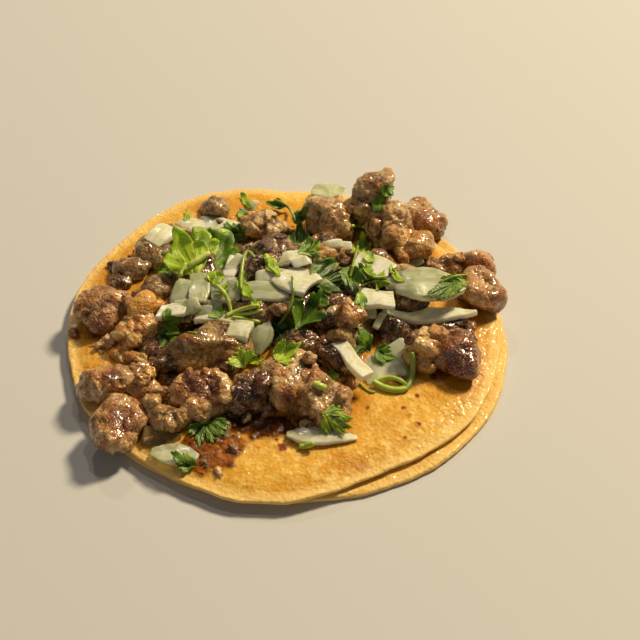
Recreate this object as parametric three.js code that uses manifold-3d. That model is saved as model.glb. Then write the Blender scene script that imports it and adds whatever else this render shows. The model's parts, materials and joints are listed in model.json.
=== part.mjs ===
// Street taco: two soft corn tortillas, one on the other, with a heap of chopped grilled meat and
// diced onion on top. Every tortilla, every large piece of meat and every large piece of onion is a
// solid of its own. Millimetres, +Z up, +Y away from the eater. The origin is on the table, under
// the middle of the taco.

import * as THREE from "three";
import { mergeVertices } from "three/addons/utils/BufferGeometryUtils.js";
import Module from "manifold-3d";

const wasm = await Module();
wasm.setup();

// ---- Driving dimensions -------------------------------------------------------------------------

const TORTILLA_THICK = 2.2;
const TORTILLA_SEGMENTS = 60;
const RIPPLE_FADE = 8; // how fast the ripples of a rim die out towards the middle
const GAP = 0.3; // air kept between two pieces that touch
const SETTLE_SHARE = 0.1; // share of a soft piece that presses into what it rests on
const DROP_HEIGHT = 60; // height that a piece is dropped from
const DROP_STEPS = 9; // halvings of that height while the piece finds its rest
const MEAT_BOXINESS = 2.6; // 2 is an ellipsoid, larger is more like a cut block
const MEAT_LUMPS = 9;
const LUMP_HEIGHT = [-0.2, 0.25]; // from hollow to bump, as a share of the piece's radius
const LUMP_SPREAD = [0.2, 0.5]; // from narrow to broad
const CUT_FACES = 4; // knife cuts on each piece of meat
const CUT_DEPTH = [0.72, 0.87]; // from the middle, as a share of the piece's radius
const FINE = 2; // facet level of a piece of meat that lies open to view
const COARSE = 1; // and of one that is small or mostly covered
const ONION_FACET = 3.5; // length of the straight steps along a bent piece of onion
const SLIVER = 0.12; // facets flatter than this are merged after a cut
const GOLDEN_ANGLE = Math.PI * (3 - Math.sqrt(5)); // from one piece of a spiral to the next
const TOP_SEED = 101; // the lumps of the pieces on top are counted from here

// The rim of a tortilla from its underside to its top: how far in from the edge and how far up,
// both as shares of the thickness.
const RIM_SECTION = [
  [0.7, 0],
  [0.1, 0.2],
  [0, 0.55],
  [0.35, 0.94],
  [2.2, 1],
];

// ---- From three.js geometry to solids and back --------------------------------------------------

const { degToRad: radians, lerp, seededRandom: random } = THREE.MathUtils;

function toSolid(geometry) {
  const bare = new THREE.BufferGeometry();
  const faces = geometry.index ? geometry.toNonIndexed() : geometry;
  bare.setAttribute("position", faces.getAttribute("position"));
  const merged = mergeVertices(bare, 1e-3);
  return new wasm.Manifold(
    new wasm.Mesh({
      numProp: 3,
      vertProperties: merged.attributes.position.array,
      triVerts: new Uint32Array(merged.index.array),
    }),
  );
}

function toGeometry(solid) {
  const mesh = solid.getMesh();
  const position = new Float32Array(mesh.numVert * 3);
  for (let i = 0; i < mesh.numVert; i++) {
    position.set(mesh.vertProperties.subarray(i * mesh.numProp, i * mesh.numProp + 3), i * 3);
  }
  const geometry = new THREE.BufferGeometry();
  geometry.setAttribute("position", new THREE.BufferAttribute(position, 3));
  geometry.setIndex(new THREE.BufferAttribute(mesh.triVerts, 1));
  return geometry;
}

function forEachVertex(geometry, change) {
  const position = geometry.getAttribute("position");
  const vertex = new THREE.Vector3();
  for (let i = 0; i < position.count; i++) {
    change(vertex.fromBufferAttribute(position, i));
    position.setXYZ(i, vertex.x, vertex.y, vertex.z);
  }
  return geometry;
}

// ---- Materials ----------------------------------------------------------------------------------

function food(name, color, roughness) {
  return new THREE.MeshStandardMaterial({ name, color, roughness, metalness: 0 });
}

const CORN = food("corn_tortilla", 0xe3ac51, 0.6);
const BROWNED = food("browned_meat", 0x86583a, 0.45);
const SEARED = food("seared_meat", 0x5b3420, 0.35);
const TAN = food("tan_meat", 0xa07c4f, 0.5);
const GOLDEN = food("golden_fat", 0xaf7434, 0.35);
const CREAM = food("cream_onion", 0xd9c99e, 0.35);
const CLEAR = food("clear_onion", 0xa8a678, 0.25);

// ---- Tortillas ----------------------------------------------------------------------------------

// A wave runs round the rim: crests times, height mm out, with a crest at peak degrees. Ripples
// lift the rim off the table in the same way.
const UPPER_TORTILLA = {
  name: "tortilla_upper",
  at: [-2, -0.3],
  radius: 62,
  waves: [
    { crests: 2, height: 1.0, peak: -50 },
    { crests: 3, height: 1.0, peak: -2 },
    { crests: 4, height: 0.5, peak: -4 },
    { crests: 5, height: 0.6, peak: -22 },
    { crests: 7, height: 0.8, peak: 11 },
  ],
  ripples: [
    { crests: 3, height: 0.35, peak: -45 },
    { crests: 5, height: 0.25, peak: 20 },
  ],
};
const LOWER_TORTILLA = {
  name: "tortilla_lower",
  at: [1.5, -0.4],
  radius: 62.3,
  waves: [
    { crests: 2, height: 0.45, peak: 73 },
    { crests: 3, height: 1.2, peak: -35 },
  ],
  ripples: [],
};

function waveAt(waves, angle) {
  return waves.reduce(
    (sum, { crests, height, peak }) => sum + height * Math.cos(crests * (angle - radians(peak))),
    0,
  );
}

// A disc of dough with a rounded rim, turned on a lathe and then pulled out of round.
function tortillaGeometry({ radius, waves, ripples }, grow) {
  const edge = radius + grow;
  const thick = TORTILLA_THICK + 2 * grow;
  const rim = RIM_SECTION.map(([inset, rise]) => [edge - inset * TORTILLA_THICK, rise * thick]);
  const profile = [[0, 0], ...rim, [edge / 2, thick], [0, thick]];
  const disc = new THREE.LatheGeometry(
    profile.map(([x, y]) => new THREE.Vector2(x, y - grow)),
    TORTILLA_SEGMENTS,
  ).rotateX(Math.PI / 2);
  return forEachVertex(disc, (v) => {
    const angle = Math.atan2(v.y, v.x);
    const reach = Math.hypot(v.x, v.y) / edge;
    const stretch = 1 + (waveAt(waves, angle) * reach) / edge;
    const lift = Math.max(0, waveAt(ripples, angle)) * reach ** RIPPLE_FADE;
    v.set(v.x * stretch, v.y * stretch, v.z + lift);
  });
}

// ---- Meat ---------------------------------------------------------------------------------------

// A chopped piece: a rounded block with soft lumps and a few flat knife cuts, longest along its X.
function meatGeometry([long, wide, tall], seed, grow, facets = FINE) {
  random(seed);
  const anyWay = () => {
    const way = new THREE.Vector3(random(), random(), random());
    return way.subScalar(0.5).normalize();
  };
  const lumps = Array.from({ length: MEAT_LUMPS }, () => ({
    toward: anyWay(),
    height: lerp(...LUMP_HEIGHT, random()),
    spread: lerp(...LUMP_SPREAD, random()),
  }));
  const cuts = Array.from({ length: CUT_FACES }, () => ({
    toward: anyWay(),
    depth: lerp(...CUT_DEPTH, random()),
  }));
  const half = new THREE.Vector3(long, wide, tall).divideScalar(2).addScalar(grow);
  return forEachVertex(new THREE.IcosahedronGeometry(1, facets), (v) => {
    const boxReach = [v.x, v.y, v.z].reduce((sum, c) => sum + Math.abs(c) ** MEAT_BOXINESS, 0);
    const lumpy = lumps.reduce(
      (sum, { toward, height, spread }) => sum + height * Math.exp((v.dot(toward) - 1) / spread),
      1,
    );
    v.multiplyScalar(lumpy * boxReach ** (-1 / MEAT_BOXINESS));
    for (const { toward, depth } of cuts) {
      v.addScaledVector(toward, Math.min(0, depth - v.dot(toward)));
    }
    v.multiply(half);
  });
}

// The pieces on the tortilla in the order that they land: at is the middle in plan, size is length,
// width and height before turning, turn is degrees about Z, and lean is degrees about the length
// and the width.
const MEAT_RING = [
  { name: "meat_front_middle_right", at: [9, -33.5], size: [14, 11, 9], turn: -20 },
  { name: "meat_front_middle", at: [1, -25.5], size: [17, 13, 11], turn: 60, look: TAN },
  { name: "meat_front_gap", at: [-10, -31], size: [12, 9, 8], turn: 80, look: SEARED },
  { name: "meat_front_foot", at: [-32, -38], size: [12, 7, 6], turn: -15 },
  { name: "meat_front_left", at: [-24, -30.5], size: [21, 14, 10], turn: -8 },
  { name: "meat_corner_left", at: [-44, -40.5], size: [14, 13, 8], turn: 65, look: TAN },
  { name: "meat_left_front", at: [-49.5, -25.5], size: [15, 10, 6], turn: 10, look: TAN },
  { name: "meat_left_strip", at: [-41, -19], size: [11, 6, 5], turn: -10, facets: COARSE, look: SEARED },
  { name: "meat_left_lump", at: [-39, -28.5], size: [9, 7, 6], turn: 70, facets: COARSE },
  { name: "meat_left_inner", at: [-42.5, -5], size: [11, 11, 8], turn: 40 },
  { name: "meat_left_edge", at: [-52.5, 1], size: [16, 12, 9], turn: 70 },
  { name: "meat_left_back", at: [-47.5, 21], size: [11, 7, 6], turn: 10 },
  { name: "meat_back_left", at: [-40.5, 28], size: [12, 9, 7], turn: -25 },
  { name: "meat_left_middle", at: [-37.5, 11], size: [11, 9, 8], turn: 50 },
  { name: "meat_back_edge", at: [-23, 49.5], size: [8, 6, 5], turn: -30, facets: COARSE },
  { name: "meat_back_middle", at: [-7.5, 39], size: [14, 9, 8], turn: -10, look: TAN },
  { name: "meat_back_right_foot", at: [20, 46], size: [12, 9, 9], turn: 20, look: TAN },
  { name: "meat_back_round", at: [12, 41], size: [14, 13, 11], turn: -20, look: TAN },
  { name: "meat_right_back", at: [40, 45], size: [13, 9, 8], turn: -45 },
  { name: "meat_right_upper", at: [31, 36], size: [14, 12, 12], turn: 15, look: TAN },
  { name: "meat_right_lumps", at: [38, 27.5], size: [12, 9, 9], turn: 70, look: GOLDEN },
  { name: "meat_right_flat", at: [46.5, 22.5], size: [13, 7, 5], turn: -12, facets: COARSE, look: TAN },
  { name: "meat_right_rim", at: [56, 22], size: [10, 8, 9], turn: 30, look: GOLDEN },
  { name: "meat_right_edge", at: [57, 10.5], size: [12, 11, 10], turn: 60, look: TAN },
  { name: "meat_right_bar", at: [46.5, -3.5], size: [12, 6, 6], turn: -20, facets: COARSE, look: SEARED },
  { name: "meat_right_dark", at: [48, -15.5], size: [14, 12, 9], turn: -25, look: SEARED },
  { name: "meat_right_gold", at: [38.5, -15], size: [10, 9, 9], turn: 30, look: GOLDEN },
  { name: "meat_right_front", at: [31, -4.5], size: [11, 9, 8], turn: -10, look: SEARED },
  { name: "meat_middle_right", at: [18, -6], size: [15, 11, 10], turn: 75 },
  { name: "meat_front_slant", at: [13.5, -16.5], size: [14, 7, 7], turn: -55, look: SEARED },
  { name: "meat_middle_front", at: [4, -13], size: [11, 9, 8], turn: 0, facets: COARSE, look: SEARED },
  { name: "meat_top_left", at: [-21.5, -14], size: [23, 12, 10], turn: 5 },
];
// The chopped meat under the onion: pieces alike in size, each turned further than the last.
const MEAT_HEAP = { at: [0, 10], reach: [34, 16], pieces: 14, size: [16, 14, 11], turn: 50 };
// Pieces that land on the others.
const MEAT_ON_TOP = [
  { name: "meat_fat_arch", at: [-41, 1], size: [9, 7, 8], turn: 70, lean: [0, -30], look: GOLDEN },
  { name: "meat_top_back", at: [26, 45], size: [11, 8, 14], turn: 30, lean: [0, 12], look: TAN },
];

// ---- Onion --------------------------------------------------------------------------------------

// A cut piece of one onion layer: a slab bent round the onion, its ends narrowed by taper and
// slanted by skew. A bend below zero turns the hollow side up.
function onionGeometry({ size: [long, wide, thick], bend, taper = 0.2, skew = 0 }, grow) {
  const columns = Math.max(3, Math.round(long / ONION_FACET));
  const grown = [long, wide, thick].map((side) => side + 2 * grow);
  const slab = new THREE.BoxGeometry(...grown, columns, 2, 1);
  const bendRadius = long / radians(bend);
  return forEachVertex(slab, (v) => {
    const along = (2 * v.x) / long;
    v.y *= 1 - taper * along ** 2;
    v.x += skew * v.y;
    const angle = v.x / bendRadius;
    const radius = bendRadius + v.z;
    v.set(radius * Math.sin(angle), v.y, radius * Math.cos(angle) - bendRadius);
  });
}

const ONION_PIECES = [
  { name: "onion_back_left_outer", at: [-38.5, 32], size: [9, 7, 1.8], bend: 20, turn: 60 },
  { name: "onion_back_left_inner", at: [-31, 41], size: [10, 6, 1.8], bend: 20, turn: 8 },
  { name: "onion_back_left_wide", at: [-21, 42], size: [13, 6, 1.8], bend: 15, turn: -10 },
  { name: "onion_front_slab", at: [10, -43], size: [19, 7, 1.6], bend: 15, turn: 0, taper: 0.5 },
  { name: "onion_left_slab", at: [-29, -49], size: [13, 7, 1.6], bend: 12, turn: -10, taper: 0.5 },
  { name: "onion_left_upright", at: [-29.5, 2.5], size: [9, 5, 1.8], bend: 20, turn: 85, look: CLEAR },
  { name: "onion_middle_upright", at: [-25, 3], size: [11, 6, 1.8], bend: 30, turn: 95, look: CLEAR },
  { name: "onion_square_left", at: [-18, 3], size: [9, 8, 1.8], bend: 20, turn: 80 },
  { name: "onion_left_wedge", at: [-32, -5], size: [9, 6, 1.8], bend: 15, turn: 10, skew: 0.4 },
  { name: "onion_long_slab", at: [-19, -5.5], size: [14, 4, 2], bend: 12, turn: -4, taper: 0 },
  { name: "onion_slab_end", at: [-13, -11], size: [8, 7, 2], bend: 12, turn: 75, taper: 0 },
  { name: "onion_oval", at: [-7, -10], size: [11, 7, 1.8], bend: 25, taper: 0.6, turn: 80, lean: [0, -25] },
  { name: "onion_olive_slab", at: [-6, 2], size: [13, 7, 1.8], bend: 8, turn: 3, taper: 0, look: CLEAR },
  { name: "onion_back_upright", at: [-16, 12], size: [9, 5, 1.8], bend: 20, turn: 80 },
  { name: "onion_cream", at: [3, 5], size: [11, 10, 1.8], bend: 25, turn: -30, skew: 0.2 },
  { name: "onion_roof", at: [2, 13.5], size: [11, 6, 1.8], bend: 70, turn: 5 },
  { name: "onion_square", at: [25, 0], size: [11, 7, 1.8], bend: 8, turn: 0, taper: 0, look: CLEAR },
  { name: "onion_right_upper", at: [25, 12], size: [11, 8, 1.8], bend: 20, turn: -25 },
  { name: "onion_long_arc", at: [40.5, -1.5], size: [27, 6, 1.6], bend: -30, turn: 0, taper: 0.4 },
  { name: "onion_big_petal", at: [40, 5], size: [23, 12, 1.8], bend: 25, turn: -5, taper: 0.6 },
  { name: "onion_back_slab", at: [12, 57], size: [10, 7, 1.8], bend: 25, turn: -10, look: CLEAR },
  { name: "onion_front_petal", at: [28, -17.5], size: [15, 11, 1.6], bend: 25, turn: 20, look: CLEAR },
  { name: "onion_bright_strip", at: [18, -20], size: [16, 4, 2], bend: 15, turn: -60, taper: 0 },
];

// ---- Piling the pieces up -----------------------------------------------------------------------

const tortillas = new THREE.Group();
const meat = new THREE.Group();
const onion = new THREE.Group();
const pile = [];

function poseOf({ at: [x, y], turn = 0, lean = [0, 0] }, height) {
  const pose = new THREE.Object3D();
  pose.position.set(x, y, height);
  pose.rotation.set(radians(lean[0]), radians(lean[1]), radians(turn), "ZYX");
  pose.updateMatrix();
  return pose;
}

// Puts a finished solid into its group, as a mesh with its own place and turn. Its grown twin is
// what later pieces keep clear of.
function add(group, { name, look }, pose, solid, grown) {
  pile.push({ solid, grown, box: solid.boundingBox() });
  const geometry = toGeometry(solid).applyMatrix4(pose.matrix.clone().invert());
  geometry.computeVertexNormals();
  const mesh = new THREE.Mesh(geometry, look);
  mesh.name = name;
  mesh.position.copy(pose.position);
  mesh.rotation.copy(pose.rotation);
  group.add(mesh);
}

function near(solid) {
  const box = solid.boundingBox();
  const apart = (other) =>
    [0, 1, 2].some((k) => other.min[k] > box.max[k] + GAP || other.max[k] < box.min[k] - GAP);
  return pile.filter((piece) => !apart(piece.box));
}

function sunkVolume(solid) {
  return near(solid).reduce((sum, piece) => sum + piece.solid.intersect(solid).volume(), 0);
}

function largestBody(solid) {
  return solid.decompose().reduce((best, body) => (body.volume() > best.volume() ? body : best));
}

// Cuts away what has sunk into the pile, leaving the gap, and keeps the largest part.
function clearOfPile(solid) {
  const cut = near(solid).reduce((rest, piece) => rest.subtract(piece.grown), solid);
  return largestBody(largestBody(cut).simplify(SLIVER));
}

// Drops a piece straight down until it bears on the pile.
function drop(group, piece, geometryOf) {
  const start = poseOf(piece, 0);
  const solid = toSolid(geometryOf(0).applyMatrix4(start.matrix));
  const allowed = solid.volume() * SETTLE_SHARE;
  let height = DROP_HEIGHT / 2;
  for (let i = 1, step = DROP_HEIGHT / 4; i < DROP_STEPS; i++, step /= 2) {
    height += sunkVolume(solid.translate([0, 0, height])) > allowed ? step : -step;
  }
  const pose = poseOf(piece, height);
  const grown = toSolid(geometryOf(GAP).applyMatrix4(pose.matrix));
  add(group, piece, pose, clearOfPile(solid.translate([0, 0, height])), grown);
}

const upperUnderside = TORTILLA_THICK + GAP;
for (const [disc, underside] of [
  [LOWER_TORTILLA, 0],
  [UPPER_TORTILLA, upperUnderside],
]) {
  const pose = poseOf(disc, underside);
  const solid = toSolid(tortillaGeometry(disc, 0).applyMatrix4(pose.matrix));
  const grown = toSolid(tortillaGeometry(disc, GAP).applyMatrix4(pose.matrix));
  add(tortillas, { look: CORN, ...disc }, pose, solid, grown);
}

MEAT_RING.forEach((piece, i) => {
  drop(meat, { look: BROWNED, ...piece }, (grow) =>
    meatGeometry(piece.size, i + 1, grow, piece.facets),
  );
});

// The heap's pieces lie in a spiral and are joined to one uneven solid.
function heapSolid(pose, grow) {
  const chunks = Array.from({ length: MEAT_HEAP.pieces }, (_, i) => {
    const around = i * GOLDEN_ANGLE;
    const out = Math.sqrt((i + 0.5) / MEAT_HEAP.pieces);
    const at = [
      MEAT_HEAP.reach[0] * out * Math.cos(around),
      MEAT_HEAP.reach[1] * out * Math.sin(around),
    ];
    const place = poseOf({ at, turn: i * MEAT_HEAP.turn }, 0).matrix.premultiply(pose.matrix);
    const chunk = meatGeometry(MEAT_HEAP.size, MEAT_RING.length + i, grow, COARSE);
    return toSolid(chunk.applyMatrix4(place));
  });
  return chunks.reduce((heap, chunk) => heap.add(chunk));
}

const heapPose = poseOf(
  { at: MEAT_HEAP.at },
  upperUnderside + TORTILLA_THICK + MEAT_HEAP.size[2] / 2,
);
add(
  meat,
  { name: "meat_heap", look: BROWNED },
  heapPose,
  clearOfPile(heapSolid(heapPose, 0)),
  heapSolid(heapPose, GAP),
);

MEAT_ON_TOP.forEach((piece, i) => {
  drop(meat, piece, (grow) => meatGeometry(piece.size, i + TOP_SEED, grow));
});
for (const piece of ONION_PIECES) {
  drop(onion, { look: CREAM, ...piece }, (grow) => onionGeometry(piece, grow));
}

// The origin goes under the middle of the whole taco.
const taco = new THREE.Group().add(tortillas, meat, onion);
const middle = new THREE.Box3().setFromObject(taco, true).getCenter(new THREE.Vector3());
for (const layer of taco.children) {
  layer.position.set(-middle.x, -middle.y, 0);
}

export default taco;
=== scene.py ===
import itertools
import json
import math

import bmesh
import bpy
import numpy as np
from mathutils import Matrix, Vector
from mathutils.bvhtree import BVHTree
from mathutils.kdtree import KDTree

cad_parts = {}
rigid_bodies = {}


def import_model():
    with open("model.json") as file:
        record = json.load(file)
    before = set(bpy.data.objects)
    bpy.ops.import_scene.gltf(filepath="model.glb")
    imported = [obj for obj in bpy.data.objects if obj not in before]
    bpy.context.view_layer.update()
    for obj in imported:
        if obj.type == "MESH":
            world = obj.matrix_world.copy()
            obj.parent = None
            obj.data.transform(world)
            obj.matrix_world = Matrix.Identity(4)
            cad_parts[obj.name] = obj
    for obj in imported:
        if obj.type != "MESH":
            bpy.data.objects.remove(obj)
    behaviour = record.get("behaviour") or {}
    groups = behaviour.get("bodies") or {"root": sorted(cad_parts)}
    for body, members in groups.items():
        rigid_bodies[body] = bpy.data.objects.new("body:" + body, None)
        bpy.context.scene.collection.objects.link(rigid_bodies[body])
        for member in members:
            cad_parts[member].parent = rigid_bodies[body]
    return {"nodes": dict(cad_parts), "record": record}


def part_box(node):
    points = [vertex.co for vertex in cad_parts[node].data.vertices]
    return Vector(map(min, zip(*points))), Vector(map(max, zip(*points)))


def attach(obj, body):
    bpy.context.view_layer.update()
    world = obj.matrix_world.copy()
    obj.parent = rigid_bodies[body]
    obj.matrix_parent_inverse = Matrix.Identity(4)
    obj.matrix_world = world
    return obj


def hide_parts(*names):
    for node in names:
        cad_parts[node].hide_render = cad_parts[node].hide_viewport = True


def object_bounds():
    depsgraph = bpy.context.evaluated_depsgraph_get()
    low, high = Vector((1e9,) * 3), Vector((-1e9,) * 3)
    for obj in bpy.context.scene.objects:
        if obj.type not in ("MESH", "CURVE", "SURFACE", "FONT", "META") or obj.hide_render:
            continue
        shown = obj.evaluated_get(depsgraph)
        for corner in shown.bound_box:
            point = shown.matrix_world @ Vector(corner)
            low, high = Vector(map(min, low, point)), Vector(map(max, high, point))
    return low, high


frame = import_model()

cad_box = [list(corner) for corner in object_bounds()]

# ---- The camera --------------------------------------------------------------------------------
# The taco is looked at from its front, from halfway between level and straight above. Small pieces
# are laid where this camera sees them, so its picture serves as the map of the toppings.

MM = 0.001  # one millimetre, in metres
PICTURE = 640  # pixels along each side of the camera's picture
LENS = 80
SENSOR = 36
CAMERA_ELEVATION = math.radians(45)
CAMERA_DISTANCE = 418 * MM
CAMERA_AIM = Vector((9.63 * MM, 6.48 * MM, 0))
NEAREST_SEEN = 10 * MM
TOWARD_CAMERA = Vector((0, -math.cos(CAMERA_ELEVATION), math.sin(CAMERA_ELEVATION)))
PICTURE_RIGHT = Vector((1, 0, 0))
PICTURE_UP = TOWARD_CAMERA.cross(PICTURE_RIGHT)

camera = bpy.data.objects.new("camera", bpy.data.cameras.new("camera"))
camera.data.lens = LENS
camera.data.sensor_width = SENSOR
camera.data.clip_start = NEAREST_SEEN
camera.location = CAMERA_AIM + CAMERA_DISTANCE * TOWARD_CAMERA
camera.rotation_euler = (math.pi / 2 - CAMERA_ELEVATION, 0, 0)
bpy.context.scene.collection.objects.link(camera)
bpy.context.scene.camera = camera


def sight_line(pixel):
    """The direction in which the camera sees a pixel, given as (across, down) in its picture."""
    across, down = (float(value) for value in pixel)
    pixel_angle = SENSOR / LENS / PICTURE
    right = (across - PICTURE / 2) * pixel_angle
    up = (PICTURE / 2 - down) * pixel_angle
    return (right * PICTURE_RIGHT + up * PICTURE_UP - TOWARD_CAMERA).normalized()


def seen_at_height(pixel, height):
    """The point that a pixel shows on the level plane at a height."""
    ray = sight_line(pixel)
    return camera.location + ray * (height - camera.location.z) / ray.z


# ---- Tortillas ---------------------------------------------------------------------------------
# Two corn tortillas, pressed thin from ground corn dough and toasted on a griddle, lie one on the
# other. The dough is pebbly and uneven in colour, with toasted spots, and it has soaked up oil and
# juice from the meat on it.

TORTILLA_SEGMENTS = 600
RIM_STEPS = 60  # corners round the edge of a CAD tortilla
RIM_WAVES = 14  # waves of the edge that are kept when its corners are smoothed away
RIM_ROUND = 7  # rings round the rounded rim
UNDER_RINGS = (0.3, 0.6, 0.8, 0.9, 0.95)  # coarse rings of the underside, as shares of the radius
MIDDLE_RINGS = (0.9, 0.75, 0.5, 0.25)  # coarse rings of the top's hidden middle, as shares of it
FINE_RING = 0.5 * MM
HIDDEN_SHARES = {"tortilla_lower": 0.8, "tortilla_upper": 0.35}  # how far out other pieces hide it
RIM_THINNER = {"tortilla_lower": 0.5 * MM, "tortilla_upper": 1.1 * MM}  # less dough at the rim
DRY_ROUGHNESS = 0.5
WET_ROUGHNESS = 0.3

# Where in the soft clouds of the dough something starts and where it is full.
GOLD_FROM = (0.4, 0.62)
FLOURY_FROM = (0.46, 0.62)
FLOURY_WITHIN = (0.3, 0.6)
THICK_JUICE_FROM = (0.2, 0.42)
BROWN_JUICE_FROM = (0.46, 0.62)
TOAST_DARK_FROM = (0.45, 0.95)  # by how toasted the dough is

# Where on a tortilla something starts and where it is full. The first is a share of the thickness,
# the others are shares of the radius.
TOP_FACE = (0.2, 0.6)
RIM_SLOPE = (0.86, 1)
RIM_WAVY = (0.93, 1)
RIM_WRINKLED = (0.84, 0.95)
# The pale rim is partly the dough's own colour and partly a painted highlight.
RIM_PALE = (0.94, 0.985)
PALE_ON_TOP = 0.4  # how pale the top gets at the rim, next to the side of the rim
SIDE_ON_TOP = 0.4  # how far the colour of the rim's side reaches over onto the top

# Relief: rows of size and height, in mm.
DOUGH_RELIEF = [(15, 0.25), (5, 0.14), (2.2, 0.12), (1.1, 0.07)]
RIM_WRINKLES = [(1.6, 0.14), (0.9, 0.08)]  # they run along the rim
WRINKLE_TURN = 9 * MM  # how far a radian round the rim counts for the wrinkles
EDGE_RELIEF = [(9, 0.35), (2.5, 0.15)]  # how the rim wanders in and out
JUICE_RELIEF = [(3, 0.4), (1.4, 0.35)]

OIL_REACH = 8.5 * MM  # how far oil creeps out from the meat
OIL_PATCH = 9 * MM
OIL_UNEVEN = 0.35
OILED_FROM = (0.15, 0.9)
# Painted shade: the juice gets dark close to the foot of the meat.
JUICE_REACH = 1.6 * MM
JUICE_PATCH = 4 * MM
JUICE_UNEVEN = 0.3
JUICE_ROUND_MEAT = (0.8, -0.1)  # how much more lies at the meat than far off, and how much there
JUICY_FROM = (0.1, 0.8)
JUICE_DEEP = 0.3 * MM
PUDDLE_CORE = 0.5  # how much of a puddle's radius is fully covered
PUDDLE_RAGGED = 0.5
TOAST_CORE = 0.35
TOAST_PATCH = 1.3 * MM
TOAST_RAGGED = 0.45

# Puddles of juice: the pixel of the middle, the radius in mm and how dark the juice is, partly
# burnt and, under the front of the meat, painted shade.
JUICE_SPOTS = [
    ((216, 454), 7.5, 0.1),
    ((203, 462), 4.5, 0.2),
    ((232, 446), 5.5, 0.2),
    ((205, 428), 6, 0.8),
    ((196, 446), 5, 0.5),
    ((242, 424), 6, 0.9),
    ((262, 421), 6, 0.9),
    ((259, 430), 5, 0.7),
    ((280, 426), 5.5, 0.9),
    ((302, 426), 4, 0.7),
    ((152, 405), 6, 0.9),
    ((440, 374), 4, 0.3),
]

DOUGH_GOLD = (227, 177, 68)
DOUGH_PALE = (242, 202, 112)
DOUGH_DEEP = (215, 156, 42)
DOUGH_OILED = (206, 140, 36)
DOUGH_EDGE = (244, 208, 128)
JUICE_AMBER = (160, 90, 10)
JUICE_BROWN = (96, 46, 2)
BURNT_AND_SHADED_JUICE = (58, 24, 2)
TOAST_BROWN = (172, 84, 14)
TOAST_DARK = (124, 48, 4)

# Toasted and stained spots: the pixel of the middle, the radius in mm and the strength.
TOASTED_SPOTS = [
    ((417, 396), 1.0, 1.0),
    ((404, 408), 1.1, 0.9),
    ((418, 424), 1.3, 0.9),
    ((405, 437), 0.7, 0.9),
    ((368, 408), 1.0, 0.8),
    ((362, 464), 2.6, 0.45),
    ((283, 447), 2.0, 1.0),
    ((277, 440), 1.0, 0.9),
    ((293, 489), 1.0, 0.8),
    ((447, 415), 0.8, 0.8),
    ((475, 416), 0.8, 1.0),
    ((410, 415), 0.8, 0.6),
    ((322, 480), 1.6, 0.35),
    ((350, 421), 0.7, 0.6),
    ((75, 334), 3.2, 0.8),
    ((213, 193), 1.0, 1.0),
    ((480, 357), 2.2, 0.5),
    ((467, 372), 1.6, 0.35),
    ((340, 455), 2.2, 0.3),
    ((428, 470), 0.9, 0.6),
]

NOISE_CELLS = 256  # cells before the noise repeats, a power of two
WRAP = NOISE_CELLS - 1  # & with this wraps a number of cells round
SEED_SHIFT = 17.3  # cells between the noise of one seed and of the next
NOISE_GAIN = 1.6
NOISE_DRAW = 5  # the seed of the random draws that the noise is made of
draw = np.random.default_rng(NOISE_DRAW)
GRADIENTS = draw.normal(size=(NOISE_CELLS, 3))
GRADIENTS /= np.linalg.norm(GRADIENTS, axis=1, keepdims=True)
SHUFFLE = draw.permutation(NOISE_CELLS)


def noise(points, size, seed=0):
    """Smooth noise from about -1 to 1, with bumps of a size. Other seeds give other bumps."""
    at = points / size + SEED_SHIFT * seed
    cell = np.floor(at).astype(int)
    inside = at - cell
    ease = inside**3 * (inside * (6 * inside - 15) + 10)
    total = np.zeros(len(points))
    for corner in itertools.product((0, 1), repeat=3):
        i, j, k = ((cell + corner) & WRAP).T
        row = SHUFFLE[(SHUFFLE[i] + j) & WRAP]
        gradient = GRADIENTS[SHUFFLE[(row + k) & WRAP]]
        weight = np.prod(np.where(corner, ease, 1 - ease), axis=1)
        total += weight * np.einsum("ij,ij->i", gradient, inside - corner)
    return NOISE_GAIN * total


def relief(points, layers, seed=0):
    """The sum of several layers of noise, each with its size and height in mm."""
    return sum(
        height * MM * noise(points, size * MM, seed + i) for i, (size, height) in enumerate(layers)
    )


def smoothstep(low, high, value):
    """0 below low and 1 above high, with a soft rise between them."""
    share = np.clip((value - low) / (high - low), 0, 1)
    return share * share * (3 - 2 * share)


def colour(rgb):
    """A colour from 0-255 screen values, as Blender's linear RGBA."""
    shares = [c / 255 for c in rgb]
    linear = [c / 12.92 if c <= 0.04045 else ((c + 0.055) / 1.055) ** 2.4 for c in shares]
    return (*linear, 1)


def add_node(tree, kind, settings=None, **inputs):
    """Adds a shader node. Each input is a value or another node's output. It goes by the input's
    name, with _ for a space, or by i and the input's number. An output's id_data is its tree."""
    made = tree.nodes.new("ShaderNode" + kind)
    for name, value in (settings or {}).items():
        setattr(made, name, value)
    for name, value in inputs.items():
        key = int(name[1:]) if name[0] == "i" and name[1:].isdigit() else name.replace("_", " ")
        if isinstance(value, bpy.types.NodeSocket):
            tree.links.new(value, made.inputs[key])
        else:
            made.inputs[key].default_value = value
    return made


def new_material(name):
    """A material with an empty node tree."""
    material = bpy.data.materials.new(name)
    material.use_nodes = True
    material.node_tree.nodes.clear()
    return material


def clouds_of(place, size, **inputs):
    """Soft irregular clouds from 0 to 1, with a size in mm."""
    made = add_node(place.id_data, "TexNoise", Vector=place, Scale=1 / (size * MM), **inputs)
    return made.outputs["Fac"]


def cells_of(place, size, feature="SMOOTH_F1"):
    """Round cells with a size in mm: how far each place is from the middle of its cell."""
    scale = 1 / (size * MM)
    made = add_node(place.id_data, "TexVoronoi", {"feature": feature}, Vector=place, Scale=scale)
    return made.outputs["Distance"]


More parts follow.
